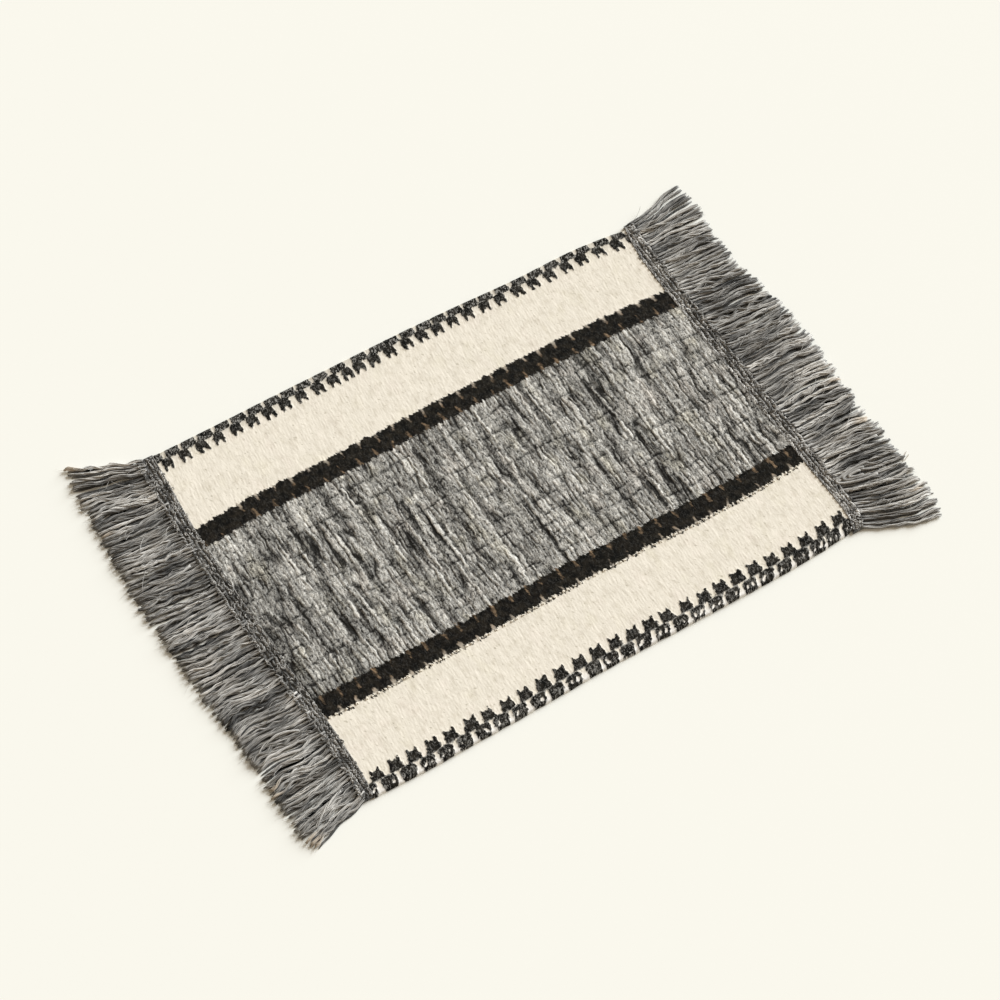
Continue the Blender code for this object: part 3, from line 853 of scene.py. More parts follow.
def fringe_material(name, sizes):
    """Loose marl yarn: each yarn has its own tone, a two-ply twist with painted shade in the grooves
    between its plies, and weathered tips.
    """
    s = Shading(name, roughness=0.9, sheen=0.2)
    around, along = s.plan()
    turn = s.math("ADD", s.math("MULTIPLY", around, 2 * math.pi),
                  s.math("MULTIPLY", along, 2 * math.pi / PLY_TURN))
    ply = s.math("ABSOLUTE", s.math("SINE", turn))
    fibres = s.noise(around, along, 5.0, 330.0, detail=3.0, seed=2.0)
    slow = s.noise(around, along, 0.6, 45.0, detail=1.0, seed=3.0)
    # painted shade in the ply grooves and a little painted light on the crests
    mixed = s.blend(s.value("tone"), (fibres, 0.3, 0.7, -0.10, 0.10), (slow, 0.3, 0.7, -0.11, 0.11),
                    (ply, 0.0, 1.0, -0.05, 0.03))
    shade = marl_ramp(s, mixed, sizes.dark, sizes.light)
    shade = s.mix(s.math("MULTIPLY", s.value("tip"), 0.80), shade, tuple(sizes.tip))
    height = s.math("ADD", ply, s.math("MULTIPLY", fibres, 0.8))
    return s.finish(shade, height, depth=0.00025, strength=0.4)


# ---- Woven cloth -----------------------------------------------------------------------------

def border_depth(side, along, across):
    """Depth inside a border's black: the deepest of its motif's strokes, each motif slipping,
    leaning and swelling by a little of its own; the near border's slots are cut out again."""
    pitch, first_inner, first_outer = BORDERS[side]
    chance = np.random.default_rng(71 if side == "far" else 72)
    depth = np.full(along.shape, -0.01)
    for block, first in (("inner", first_inner), ("outer", first_outer)):
        stations = first + pitch * np.arange(-1, BORDER_BLOCKS)
        stations = stations + np.interp(stations, *BORDER_DRIFTS[side, block])
        number = np.searchsorted((stations[1:] + stations[:-1]) / 2, along)
        slip, rise, lean, swell = (chance.normal(0, spread, 64)[number % 64]
                                   for spread in (0.00030, 0.00025, 0.07, 0.00018))
        middle = BORDER_MIDDLE if side == "far" else -BORDER_MIDDLE
        lean = lean + (-0.02 - 0.25 * (along / LENGTH) ** 2 if side == "far" else 0.05)
        u = along - stations[number] - slip - lean * (across - middle)
        v = across - rise
        inside = np.max([stroke_depth(u, v, stroke[1:3], stroke[4:6], stroke[3], stroke[6])
                         for stroke in BORDER_STROKES[side] if stroke[0] == block], axis=0) + swell
        if side == "near" and block == "outer":
            for at, top, top_radius, foot, foot_radius in NEAR_SLOTS:
                narrow = chance.uniform(-0.0006, 0.0014, 64)[number % 64]
                tilt = chance.normal(0, 0.0006, 64)[number % 64]
                leaning = u - tilt * (v - foot) / (top - foot)
                slot = stroke_depth(leaning, v, (at, top), (at, foot), top_radius, foot_radius)
                inside = np.minimum(inside, narrow - slot)
        depth = np.maximum(depth, inside)
    return depth


def notch_depth(along, across):
    """Depth inside the bands' notches: tapered strokes of uneven length from the band's side,
    slimmer in the far band near the left end."""
    chance = np.random.default_rng(81)
    depth = np.full(along.shape, -0.01)
    wobble = 0.0005 * lattice_noise(82, along / 0.0013, across / 0.0017)
    for foot, tip, pitch, first in BAND_NOTCHES:
        number = np.round((along - first) / pitch).astype(int)
        slip, lean, width = (chance.normal(0, spread, 64)[number % 64]
                             for spread in (0.0006, 0.0007, 0.0003))
        reach = chance.uniform(0.60, 1.20, 64)[number % 64]
        u = along - first - number * pitch - slip
        u = u - lean * (across - foot) / (tip - foot)
        v = foot + (across - foot) / reach
        inside = stroke_depth(u, v, (0.0, foot), (0.0, tip), NOTCH_FOOT, NOTCH_TIP) + width
        inside = inside - 0.0010 * (along < 0.030) * (foot > 0)
        depth = np.maximum(depth, inside + wobble)
    return depth


def hook_depth(along, across):
    """Depth inside the small black hooks that hang from the near band into the cream."""
    chance = np.random.default_rng(83)
    number = np.round(along / HOOK_PITCH).astype(int)
    slip, drop, lean = (chance.normal(0, spread, 128)[number % 128] for spread in (0.0004, 0.0002, 0.2))
    present = chance.uniform(0, 1, 128)[number % 128] < 0.72
    v = across - NEAR_BLACK[0] - drop
    u = along - number * HOOK_PITCH - slip - lean * v
    side = stroke_depth(u, v, (0.0009, 0.0006), (0.0007, -0.0009), 0.0006, 0.0005)
    foot = stroke_depth(u, v, (0.0007, -0.0010), (-0.0006, -0.0013), 0.0006, 0.0006)
    return np.where(present, np.maximum(side, foot), -0.01)


def black_depth(along, across):
    """Depth inside all of the black: the two bands with ragged sides, the hooks under the near
    one and both borders, whose outlines wobble a little."""
    band = np.maximum(np.minimum(across - NEAR_BLACK[0], NEAR_BLACK[1] - across),
                      np.minimum(across - FAR_BLACK[0], FAR_BLACK[1] - across))
    band = band + 0.0008 * lattice_noise(43, along / 0.0017, across / 0.006) - 0.0001
    band = band + 0.0004 * lattice_noise(44, along / 0.0052, across / 0.008)
    band = np.maximum(band, hook_depth(along, across))
    border = np.maximum(border_depth("far", along, across), border_depth("near", along, across))
    border = border + 0.00046 * lattice_noise(45, along / 0.0013, across / 0.0015)
    return np.maximum(band, border)


def streak_field(along, across):
    """Strength, tone and dark outline of the marl's long streaks: the named ones and many strewn
    ones, each a band along the yarns that narrows to its ends as the root of 4 s (1 - s)."""
    chance = np.random.default_rng(91)
    low, high = NEAR_BLACK[1] - 0.006, FAR_BLACK[0] + 0.006
    streaks = list(MARL_STREAKS)
    for _ in range(STREWN_STREAKS):
        length, start = chance.uniform(0.016, 0.070), chance.uniform(low, high)
        tone = chance.choice((chance.uniform(0.19, 0.36), chance.uniform(0.72, 0.93)), p=(0.45, 0.55))
        streaks.append((chance.uniform(0.006, LENGTH - 0.006), start - length / 2, start + length / 2,
                        chance.uniform(0.0014, 0.0038), tone))
    strength, tone = np.zeros(along.shape), np.full(along.shape, 0.5)
    outline = np.zeros(along.shape)
    ragged = lattice_noise(92, along / 0.0018, across / 0.0022)
    for at, start, end, width, streak_tone in streaks:
        share = np.clip((across - start) / (end - start), 0, 1)
        inside = width / 2 * np.sqrt(4 * share * (1 - share)) - np.abs(along - at)
        inside = inside + 0.0009 * ragged
        mask = np.clip(inside / 0.0009 + 0.5, 0, 1) * (share > 0) * (share < 1)
        strength = np.maximum(strength, mask)
        tone = tone + (streak_tone - tone) * mask
        rim = np.exp(-((inside + 0.0005) / 0.0005) ** 2) * np.clip(8 * share * (1 - share), 0, 1)
        outline = np.maximum(outline * (1 - mask), rim)
    return strength, tone, outline


def marl_fields(yarn, along, across):
    """Tone and openness of the marl. Its columns of yarn are long cells with a tone of their own,
    and their edges gape here and there; its grains are short narrow cells inside them."""
    column_gap, column_own = cells(61, yarn, across, MARL_COLUMN)
    grain_gap, grain_own = cells(63, yarn, across, MARL_GRAIN)
    gape = np.clip(0.40 + 1.2 * lattice_noise(36, along / 0.0045, across / 0.014), 0.05, 1)
    crevice = (1 - gape * np.exp(-column_gap / 0.17)) * (1 - 0.50 * np.exp(-grain_gap / 0.18))
    broad = lattice_noise(33, yarn / 0.0060, across / 0.060)
    patch = lattice_noise(34, along / 0.024, across / 0.040)
    tone = MARL_TONE + 0.36 * (column_own - 0.5) + 0.26 * (grain_own - 0.5)
    tone = tone + 0.07 * broad + 0.03 * patch
    tone = tone - 0.10 * np.exp(-(along / 0.016) ** 2)
    slub_gap, slub_own = cells(65, yarn, across, MARL_SLUB)
    slub = (slub_own > 0.93) * np.clip((slub_gap - 0.45) / 0.12, 0, 1)
    return tone + (0.98 - tone) * 0.9 * slub, crevice


def binding_dents(along, across):
    """The dents of the binding thread: wandering lines, exp(-(distance / width)^2), and how
    strongly each shows, both changing along the line."""
    dents, shown = np.zeros(along.shape), np.zeros(along.shape)
    for at, share in BINDING_LINES:
        seed = int(9000 * at) % 977
        line = at + 0.0017 * lattice_noise(seed + 1, along / 0.012, 0.0)
        line = line + 0.0006 * lattice_noise(seed + 4, along / 0.0031, 0.0)
        width = 0.0006 + 0.0003 * lattice_noise(seed + 2, along / 0.006, 0.0)
        dent = np.exp(-((across - line) / width) ** 2)
        breaks = lattice_noise(seed, along / 0.0034, 0.0)
        breaks = breaks + 0.9 * lattice_noise(seed + 3, along / 0.024, 0.0)
        dents = np.maximum(dents, dent)
        shown = np.maximum(shown, dent * np.clip(1.2 * breaks + 0.7 * share, 0, 1))
    return dents, shown


def cloth_fields(sizes, along, across):
    """The face's height and the numbers that colour it. Yarns are long cells, bent sideways by
    slow and quick lattice noise; the height over the valleys is the rib's times the crevice's
    share, 1 - exp(-gap / width), where gap is how much nearer a place is to its own cell's point
    than to the next. The black yarn stands a little higher, and the long edges are rounded off."""
    bend = 0.0009 * lattice_noise(21, along / 0.0095, across / 0.016)
    bend = bend + 0.0008 * lattice_noise(22, along / 0.0030, across / 0.0048)
    yarn = along + bend
    inner = (across > MARL_REACH[0]) & (across < MARL_REACH[1])
    fine_gap, own = cells(62, yarn, across, PANEL_YARN)
    marl_tone, marl_crevice = marl_fields(yarn, along, across)
    strength, streak_tone, outline = streak_field(yarn, across)
    marl_tone = marl_tone + (streak_tone - marl_tone) * 0.92 * strength
    filled = 0.7 * strength * np.clip(3 * streak_tone - 1.4, 0, 1)
    marl_crevice = marl_crevice + (1 - marl_crevice) * filled
    # rim round a streak: its lower crevice share lowers the face and darkens the colour as painted shade
    marl_crevice = marl_crevice * (1 - 0.38 * outline)
    tone = np.where(inner, marl_tone, own)
    crevice = np.where(inner, marl_crevice, 1 - np.exp(-fine_gap / 0.30))

    black, notch = black_depth(along, across), notch_depth(along, across)
    dents, shown = binding_dents(along, across)
    # painted shade: where a binding dent shows, its crevice share drops and the colour darkens
    crevice = crevice * (1 - 0.80 * shown * inner)
    rib = np.where(inner, sizes.marl_rib, sizes.panel_rib)
    height = sizes.ground + rib * crevice * (0.8 + 0.35 * own)
    height = height + 0.00022 * strength * (streak_tone - 0.4) * inner - 0.0003 * dents * inner
    height = height + sizes.black_rise * np.clip(black / 0.0006 + 0.5, 0, 1)
    speck = np.where(across > OUTER_ROWS_FROM, 1.0, np.where(across < -OUTER_ROWS_FROM, 0.7, 0.35))
    speck = np.where(np.abs(across) < BORDERS_FROM, 0.07, speck)
    edge = np.minimum(across - NEAR_EDGE, FAR_EDGE - across)
    height = height * (0.45 + 0.55 * np.sqrt(np.clip(edge / EDGE_ROUNDING, 0, 1)))
    return height, {"tone": tone, "crevice": np.clip(crevice, 0, 1), "black": black, "notch": notch,
                    "speck": speck}


def weave_panel(name, sizes, column_step, spans, material):
    """One closed panel of the cloth between two lines across. Its face is a grid over the plan,
    its rim drops straight down, and its flat underside is a coarser grid."""
    rows = np.concatenate([np.linspace(low, high, round((high - low) / step), endpoint=False)
                           for low, high, step in spans] + [[spans[-1][1]]])
    columns = np.linspace(0, LENGTH, round(LENGTH / column_step))
    along, across = np.meshgrid(columns, rows, indexing="ij")
    x, y = place(along, across)
    ripple = EDGE_RIPPLE * lattice_noise(41, along / 0.0066, 0.0)
    y = y + np.where(across == FAR_EDGE, ripple, 0) - np.where(across == NEAR_EDGE, ripple, 0)
    z, values = cloth_fields(sizes, along, across)
    count, depth = along.shape

    top = np.stack([x, y, z], -1).reshape(-1, 3)
    index = np.arange(count * depth).reshape(count, depth)
    rim = np.concatenate([index[:, 0], index[-1, 1:], index[-2::-1, -1], index[0, -2:0:-1]])
    inside = index[1:-1, 4:-4:8]
    points = np.concatenate([top, top[rim] * (1, 1, 0), top[inside.ravel()] * (1, 1, 0)])
    below = len(top) + np.arange(len(rim))
    under = len(top) + len(rim) + np.arange(inside.size).reshape(inside.shape)
    far = below[count + depth - 2:2 * count + depth - 2][::-1]
    under = np.concatenate([below[1:count - 1, None], under, far[1:-1, None]], axis=1)

    face = np.stack([index[:-1, :-1], index[1:, :-1], index[1:, 1:], index[:-1, 1:]], -1)
    wall = np.stack([rim, below, np.roll(below, -1), np.roll(rim, -1)], -1)
    floor = np.stack([under[:-1, :-1], under[:-1, 1:], under[1:, 1:], under[1:, :-1]], -1)
    right = np.concatenate([under[-1], below[count - 1:count + depth - 1][::-1]])
    left = np.concatenate([below[:1], below[2 * count + depth - 3:][::-1], under[0][::-1]])
    faces = [face.reshape(-1, 4), wall, floor.reshape(-1, 4), right[None], left[None]]

    source = np.concatenate([np.arange(len(top)), rim, inside.ravel()])
    flat = np.stack([along, across], -1).reshape(-1, 2)[source]
    uv = np.concatenate([flat[part].reshape(-1, 2) for part in faces])
    values = {label: numbers.ravel()[source] for label, numbers in values.items()}
    return build_mesh(name, points, faces, uv, values, material, sharp_angle=math.radians(75))


def cream_loops(sizes, material):
    """Cream loops along the near black band: each is half an ellipse on the plan, bowed up."""
    chance, count = np.random.default_rng(95), int(LENGTH / LOOP_PITCH)
    middle = (0.5 + np.arange(count)[:, None]) * LOOP_PITCH + chance.normal(0, 0.0010, (count, 1))
    middle = np.clip(middle, 0.002, LENGTH - 0.002)
    angle = np.linspace(0, np.pi, 9)[None]
    wide, tall = chance.uniform(0.0004, 0.0008, (count, 1)), chance.uniform(0.0005, 0.0015, (count, 1))
    lean = chance.normal(0, 0.0005, (count, 1))
    across = NEAR_BLACK[0] - 0.0013 + tall * np.sin(angle)
    x, y = place(middle + wide * np.cos(angle) + lean * np.sin(angle), across)
    z = sizes.ground + 0.0002 + 0.0004 * np.sin(angle) + 0 * x
    half = sizes.loop / 2 * chance.uniform(0.8, 1.25, (count, 1))
    return yarn_piece("cream_loops", np.stack([x, y, z], -1), half, half, 6, 0.5, 0.0, material)


# ---- Headings and fringes --------------------------------------------------------------------

def heading_strip(end, material):
    """Flat closed strip under the heading's cords: rings of five points, joined one to the next
    along the heading, from the floor at the seam over a low ridge to the floor at the roots. Its dark tone
    is painted shade between the cords."""
    table, outward = END_LINES[end], FRINGE_WAYS[end]["outward"]
    y = np.linspace(table[0, 0], table[-1, 0], 90)
    seam = smooth_line(table, SEAM, y) + outward * SEAM_GAP / 2 + SHIFT
    root = smooth_line(table, ROOT, y) + outward * STRIP_LIP + SHIFT
    middle = (seam + root) / 2
    section = ((seam, 0.0), (seam, 0.0020), (middle, 0.0023), (root, 0.0018), (root, 0.0))
    points = np.stack([np.stack([x, y, np.full_like(y, z)], -1) for x, z in section], 1).reshape(-1, 3)
    sides, steps = len(section), len(y)
    step, turn = np.meshgrid(np.arange(steps - 1), np.arange(sides), indexing="ij")
    this, beside = step * sides + turn, step * sides + (turn + 1) % sides
    quads = np.stack([this, this + sides, beside + sides, beside], -1).reshape(-1, 4)
    caps = np.stack([np.arange(sides), np.arange(sides)[::-1] + (steps - 1) * sides])
    if end == "right":
        quads, caps = quads[:, ::-1], caps[:, ::-1]
    faces = [quads, caps]
    uv = np.concatenate([points[part].reshape(-1, 3)[:, :2] * (200.0, 1.0) for part in faces])
    # dark tone as painted shade in the gaps between the cords
    values = {"tone": np.full(len(points), 0.15), "tip": np.zeros(len(points))}
    return build_mesh(f"heading_{end}_strip", points, faces, uv, values, material,
                      sharp_angle=math.radians(40))


def heading_cords(end, sizes, material, seed):
    """Four twined cords along the heading, of two plies each and turned in turn left and
    right: a ply is the cord's line plus r (cos w across it, 0.62 sin w above it)."""
    table = END_LINES[end]
    y = np.linspace(table[0, 0] + HEADING_INSET, table[-1, 0] - HEADING_INSET, 400)
    seam, root = smooth_line(table, SEAM, y), smooth_line(table, ROOT, y)
    paths, tones, wide = [], [], []
    for row, share in enumerate(CORD_ROWS):
        line = seam + (root - seam) * share
        line = line + CORD_WANDER * lattice_noise(seed + row, y / 0.0052, 0.0)
        hand = 1 if row % 2 else -1
        turn = hand * 2 * np.pi * y / sizes.twist + 2.2 * lattice_noise(seed + 7 + row, y / 0.0060, 0.0)
        for ply in range(2):
            angle = turn + np.pi * ply + row
            swing = 0.42 * sizes.cord * (1 + 0.45 * lattice_noise(seed + 9, y / 0.004, ply + row))
            x = line + swing * np.cos(angle) + SHIFT
            paths.append(np.stack([x, y, CORD_LEVEL + 0.62 * swing * np.sin(angle)], -1))
            fine = lattice_noise(seed + 20 + ply, y / 0.0030, row * 3.0 + ply)
            slow = lattice_noise(seed + 40, y / 0.0060, row * 0.6)
            speck = lattice_noise(seed + 50 + row, y / 0.0014, ply * 4.0)
            tones.append(FRINGE_WAYS[end]["heading_tone"] + 0.15 * fine + 0.30 * slow + 0.20 * speck)
            wide.append(1 + 0.28 * lattice_noise(seed + 30, y / 0.0028, row + ply * 5))
    wide = np.array(wide)
    return yarn_piece(f"heading_{end}_cords", np.array(paths), sizes.cord / 2 * wide,
                      sizes.cord * 0.40 * wide, 5, np.clip(tones, 0.03, 0.85), 0.0, material)


def strand_lines(end, chance, seed, count, steps, spread_out, eyes):
    """Middle lines of a fringe's strands, from under the heading's outer cord to the tips:
    y(s) = station + sweep s^0.85 + sway and gathering, both fields that neighbours share, + the
    strand's own small wave + the eyes, where strands part to both sides and close again.
    Returns x, y, the length run so far and the share of the whole, one row to a strand."""
    table, way = END_LINES[end], FRINGE_WAYS[end]
    low, high = table[0, 0] + HEADING_INSET, table[-1, 0] - HEADING_INSET
    station = np.linspace(low, high, count) + chance.normal(0, 0.0003, count)
    station = np.clip(station, low, high)[:, None]
    share = np.linspace(0, 1, steps)[None]
    root = smooth_line(table, ROOT, station) - way["outward"] * ROOT_TUCK
    reach = chance.normal(0, way["uneven"], (count, 1))
    reach = reach + 0.0006 * lattice_noise(seed + 4, station / 0.006, 0.0)
    reach = np.clip(reach, *REACH_LIMITS) - TIP_ROOM
    tip = smooth_line(table, TIP, station) + way["outward"] * reach
    run = np.abs(tip - root) * share
    hold = np.clip(share / 0.15, 0, 1)
    y = station + smooth_line(table, SWEEP, station) * share ** 0.85
    sway = SWAY * lattice_noise(seed, station / 0.021, run / 0.017)
    gather = GATHER * lattice_noise(seed + 1, station / 0.0066, run / 0.026)
    gather = gather * (1 - 0.3 * np.clip((share - 0.7) / 0.3, 0, 1))
    y = y + (sway + gather) * hold * share ** 0.6
    for at, out, length, width in eyes:
        apart, ahead = (y - at) / width, np.clip((run - out) / length + 0.5, 0, 1)
        y = y + width * np.tanh(3 * apart) * np.exp(-apart ** 2 / 2) * np.sin(np.pi * ahead) ** 2
    own_start = chance.uniform(0, 2 * np.pi, (count, 1))
    own = np.sin(2 * np.pi * run / chance.uniform(0.009, 0.020, (count, 1)) + own_start)
    own = own - np.sin(own_start)
    y = y + chance.normal(0, way["wave"], (count, 1)) * own * hold
    y = y + chance.normal(0, spread_out, (count, 1)) * share ** 1.2
    return root + (tip - root) * share + SHIFT, y, run, share


def fringe_yarns(end, sizes, material, seed):
    """Loose yarns of one fringe, gathered in strands: a yarn turns slowly round its strand's
    middle line on an ellipse, r (cos w across, 0.75 (1 + sin w) up), that draws in a little at
    the tip and settles towards the floor. A few strands cross over their neighbours."""
    chance, way = np.random.default_rng(seed), FRINGE_WAYS[end]
    strands, members, steps = sizes.strands, sizes.yarns, YARN_RINGS
    count = strands * members
    number = np.arange(count)[:, None]
    x, y, run, share = strand_lines(end, chance, seed + 10, strands, steps, 0.0006, FRINGE_EYES[end])
    crossing = chance.uniform(0, 1, (strands, 1)) < way["crossing"]
    crossing[:4] = crossing[-4:] = False
    aside = chance.choice((-1, 1), (strands, 1)) * chance.uniform(0.002, 0.0055, (strands, 1))
    y = y + crossing * aside * share ** 0.9
    strand = np.repeat(np.arange(strands), members)
    share = np.broadcast_to(share, (strands, steps))[strand]
    x, y, run = x[strand], y[strand], run[strand]

    spread = sizes.spread * chance.uniform(0.75, 1.25, (strands, 1))[strand]
    spread = spread * (0.62 + 0.38 * np.clip(share / 0.2, 0, 1))
    spread = spread * (1 - 0.15 * np.clip((share - 0.85) / 0.15, 0, 1) ** 2)
    hand = chance.choice((-1, 1), (strands, 1))[strand]
    turns = hand / chance.uniform(0.020, 0.050, (strands, 1))[strand]
    angle = 2 * np.pi * (number % members / members + turns * run)
    angle = angle + chance.uniform(0, 6, (strands, 1))[strand]
    angle = angle + 0.5 * np.sin(2 * np.pi * run / 0.014 + chance.uniform(0, 6, (count, 1)))
    spread = spread * chance.uniform(0.55, 1.15, (count, 1))
    half = sizes.thickness / 2 * chance.uniform(0.85, 1.25, (count, 1))
    swell = 1 + 0.26 * lattice_noise(seed + 2, number * 3.3, run / 0.0045)
    half = half * swell * np.clip((1.06 - share) / 0.10, 0.60, 1)
    over = crossing[strand] * CROSSING_RISE * np.sin(np.pi * np.clip(share * 1.1, 0, 1))
    lift = chance.uniform(0, 0.0017, (strands, 1))[strand] * (0.2 + 0.8 * share)
    risen = (lift + way["spring"] * share ** 2) * (1 - way["settle"] * share ** 5)
    z = half * 1.02 + 0.75 * spread * (1 + np.sin(angle)) + over + risen
    inset = (chance.uniform(0, 1, (strands, 1)) < 0.4) * chance.uniform(0.001, 0.0045, (strands, 1))
    x = x - way["outward"] * inset[strand] * (1 - share) ** 6
    z = z + (0.0012 + 0.25 * inset[strand]) * np.exp(-(run / 0.0042) ** 2)
    reach = np.clip(chance.normal(0, 0.0005, (count, 1)), -0.0012, 0.0010)
    x = x + way["outward"] * reach * share
    crimp = way["crimp"] * lattice_noise(seed + 5, number * 2.7, run / 0.0034)
    paths = np.stack([x, y + spread * np.cos(angle) + crimp, z], -1)

    tone, weathered = yarn_tones(end, chance, seed, strand, y, run, share, lift, angle)
    yarns = yarn_piece(f"fringe_{end}_yarns", paths, half, half, 4, np.clip(tone, 0.02, 0.98),
                       weathered, material)
    return yarns, paths, tone[:, -1:], weathered[:, -1:]


def yarn_tones(end, chance, seed, strand, y, run, share, lift, angle):
    """Tone and weathering of each ring of a fringe's yarns. The tone adds up the yarn's own, its
    strand's, four fields of lattice noise, painted light and shade for how high the strand and the ring
    lie, a painted highlight near the root and painted shade where the root runs under the cord, and some
    strands end dark. Weathering starts near the tips, but for a few warm patches."""
    way, count, strands = FRINGE_WAYS[end], len(strand), strand[-1] + 1
    tone = np.array((0.62, 0.665, 0.715))[chance.choice(3, (count, 1), p=(0.25, 0.45, 0.30))]
    tone = tone + chance.normal(0, 0.04, (count, 1)) + chance.normal(0, 0.12, (strands, 1))[strand]
    lock = np.linspace(0, 1, strands)[strand][:, None] * strands * 0.55
    tone = tone + 0.26 * lattice_noise(seed + 8, lock, run / 0.024)
    tone = tone + 0.24 * lattice_noise(seed + 6, y / 0.0085, run / 0.018)
    tone = tone + 0.14 * lattice_noise(seed + 7, y / 0.030, run / 0.030)
    tone = tone + 0.16 * lattice_noise(seed + 3, np.arange(count)[:, None] * 5.1, run / 0.0048)
    # painted light: strands that lie higher are lighter
    tone = tone + 70.0 * (lift - 0.0008) - 0.05
    # painted shade: yarns at the bottom and sides of a strand are darker
    tone = tone - 0.13 * (1 - np.sin(angle)) / 2 - 0.05 * np.cos(angle) ** 4
    # painted highlight near the root, and painted shade where the root runs under the outer cord
    tone = tone + 0.08 * np.exp(-(run / 0.009) ** 2) - 0.30 * np.exp(-(run / 0.0018) ** 2)
    tone = tone + way["tone"] + way["pale_corner"] * np.exp(-((y[:, :1] - 0.151) / 0.008) ** 2)
    darker = chance.uniform(0.0, way["dark_tips"], (strands, 1))[strand]
    tone = tone - darker * np.clip((share - 0.90) / 0.10, 0, 1)
    tans = sum(part * np.exp(-((y[:, :1] - at) / wide) ** 2) for at, wide, part in TIP_TANS[end])
    weathered = chance.uniform(0, 1, (strands, 1))[strand] < 0.04 + tans
    weathered = weathered * np.clip((share - 0.76) / 0.14, 0, 1)
    warm = 0.14 * np.clip(2 * lattice_noise(seed + 9, y / 0.010, run / 0.016) - 0.5, 0, 1)
    return tone, np.maximum(weathered, warm)


def fringe_curls(end, material, seed):
    """Strands folded back on top of the fringe: bows one inside the other, (-a cos t, b sin 0.7 t)
    for t from -2.7 to 2.7, each leaning by its own slope. The ends of a coil's bows dip into the
    fringe, and a bow by itself lies on the floor."""
    chance, steps = np.random.default_rng(seed), 40
    turn = np.linspace(-BOW_TURN, BOW_TURN, steps)
    paths, halves, tones, tans = [], [], [], []
    for x, y, length, width, lean, rings, thickness, tone, tan in FRINGE_CURLS[end]:
        for ring in range(rings):
            scale = 1 - ring / rings
            wave = 1 + 0.08 * lattice_noise(seed + ring, turn / 0.9, ring * 3.0)
            u, v = -length * scale * wave * np.cos(turn), width * scale * wave * np.sin(0.7 * turn)
            z = np.full(steps, 0.0006)
            if rings > 1:
                z = 0.0020 + 0.0007 * chance.uniform(0, 1) - 0.0008 * (turn / BOW_TURN) ** 8
            paths.append(np.stack([x + u + SHIFT, y + v + lean * u, z], -1))
            tones.append(tone + 0.16 * lattice_noise(seed + 20, turn / 0.7, ring * 2.3) - 0.05 * (ring % 2))
            halves.append([thickness / 2])
            tans.append([tan])
    return yarn_piece(f"fringe_{end}_curls", np.array(paths), halves, halves, 7, tones, tans, material)


def fringe_strays(end, sizes, material, seed):
    """Pale strands over the fringe: yarns that turn round a bent line through three points,
    p0 (1 - s)(1 - 2 s) + 4 p1 s (1 - s) + p2 s (2 s - 1), and rise in its middle."""
    chance, steps, members = np.random.default_rng(seed), 18, 4
    table = np.repeat(np.array(FRINGE_STRAYS[end]), members, axis=0)
    count, s = len(table), np.linspace(0, 1, steps)[None]
    number = np.arange(count)[:, None]
    x, y = (table[:, i, None] * (1 - s) * (1 - 2 * s) + 4 * table[:, i + 2, None] * s * (1 - s)
            + table[:, i + 4, None] * s * (2 * s - 1) for i in (0, 1))
    angle = 2 * np.pi * (number % members / members + s * chance.uniform(0.8, 1.4, (count, 1)))
    radius = STRAY_RADIUS * (1 + 0.4 * s)
    z = STRAY_LEVEL + STRAY_RISE * np.sin(np.pi * s) + radius * np.sin(angle)
    paths = np.stack([x + SHIFT, y + radius * np.cos(angle), z], -1)
    half = sizes.thickness / 2 * (1.06 - 0.3 * s)
    # painted light and shade: yarns on top of a strand lighter, those beneath darker
    tone = table[:, 6:] + 0.08 * np.sin(angle) + 0.10 * lattice_noise(seed, s * 7, number)
    return yarn_piece(f"fringe_{end}_strays", paths, half, half, 5, tone, 0.0, material)


def fringe_shade_layer(end, material, seed):
    """Dark flat yarns on the table under the strands: painted shade that closes the gaps between them."""
    chance = np.random.default_rng(seed)
    x, y, _, share = strand_lines(end, chance, seed + 8, UNDER_YARNS, UNDER_RINGS, 0.0009, ())
    x = x - np.sign(x) * 0.0010 * share
    half = np.broadcast_to(UNDER_HALF * np.clip((1.06 - share) / 0.16, 0.5, 1), x.shape)
    paths = np.stack([x, y, half * 1.02], -1)
    # dark tone as painted shade between the strands, paler where the tips show
    tone = 0.13 + 0.30 * np.clip((share - 0.85) / 0.15, 0, 1)
    return yarn_piece(f"fringe_{end}_shade_layer", paths, half * 1.5, half, 4, tone, 0.0, material)


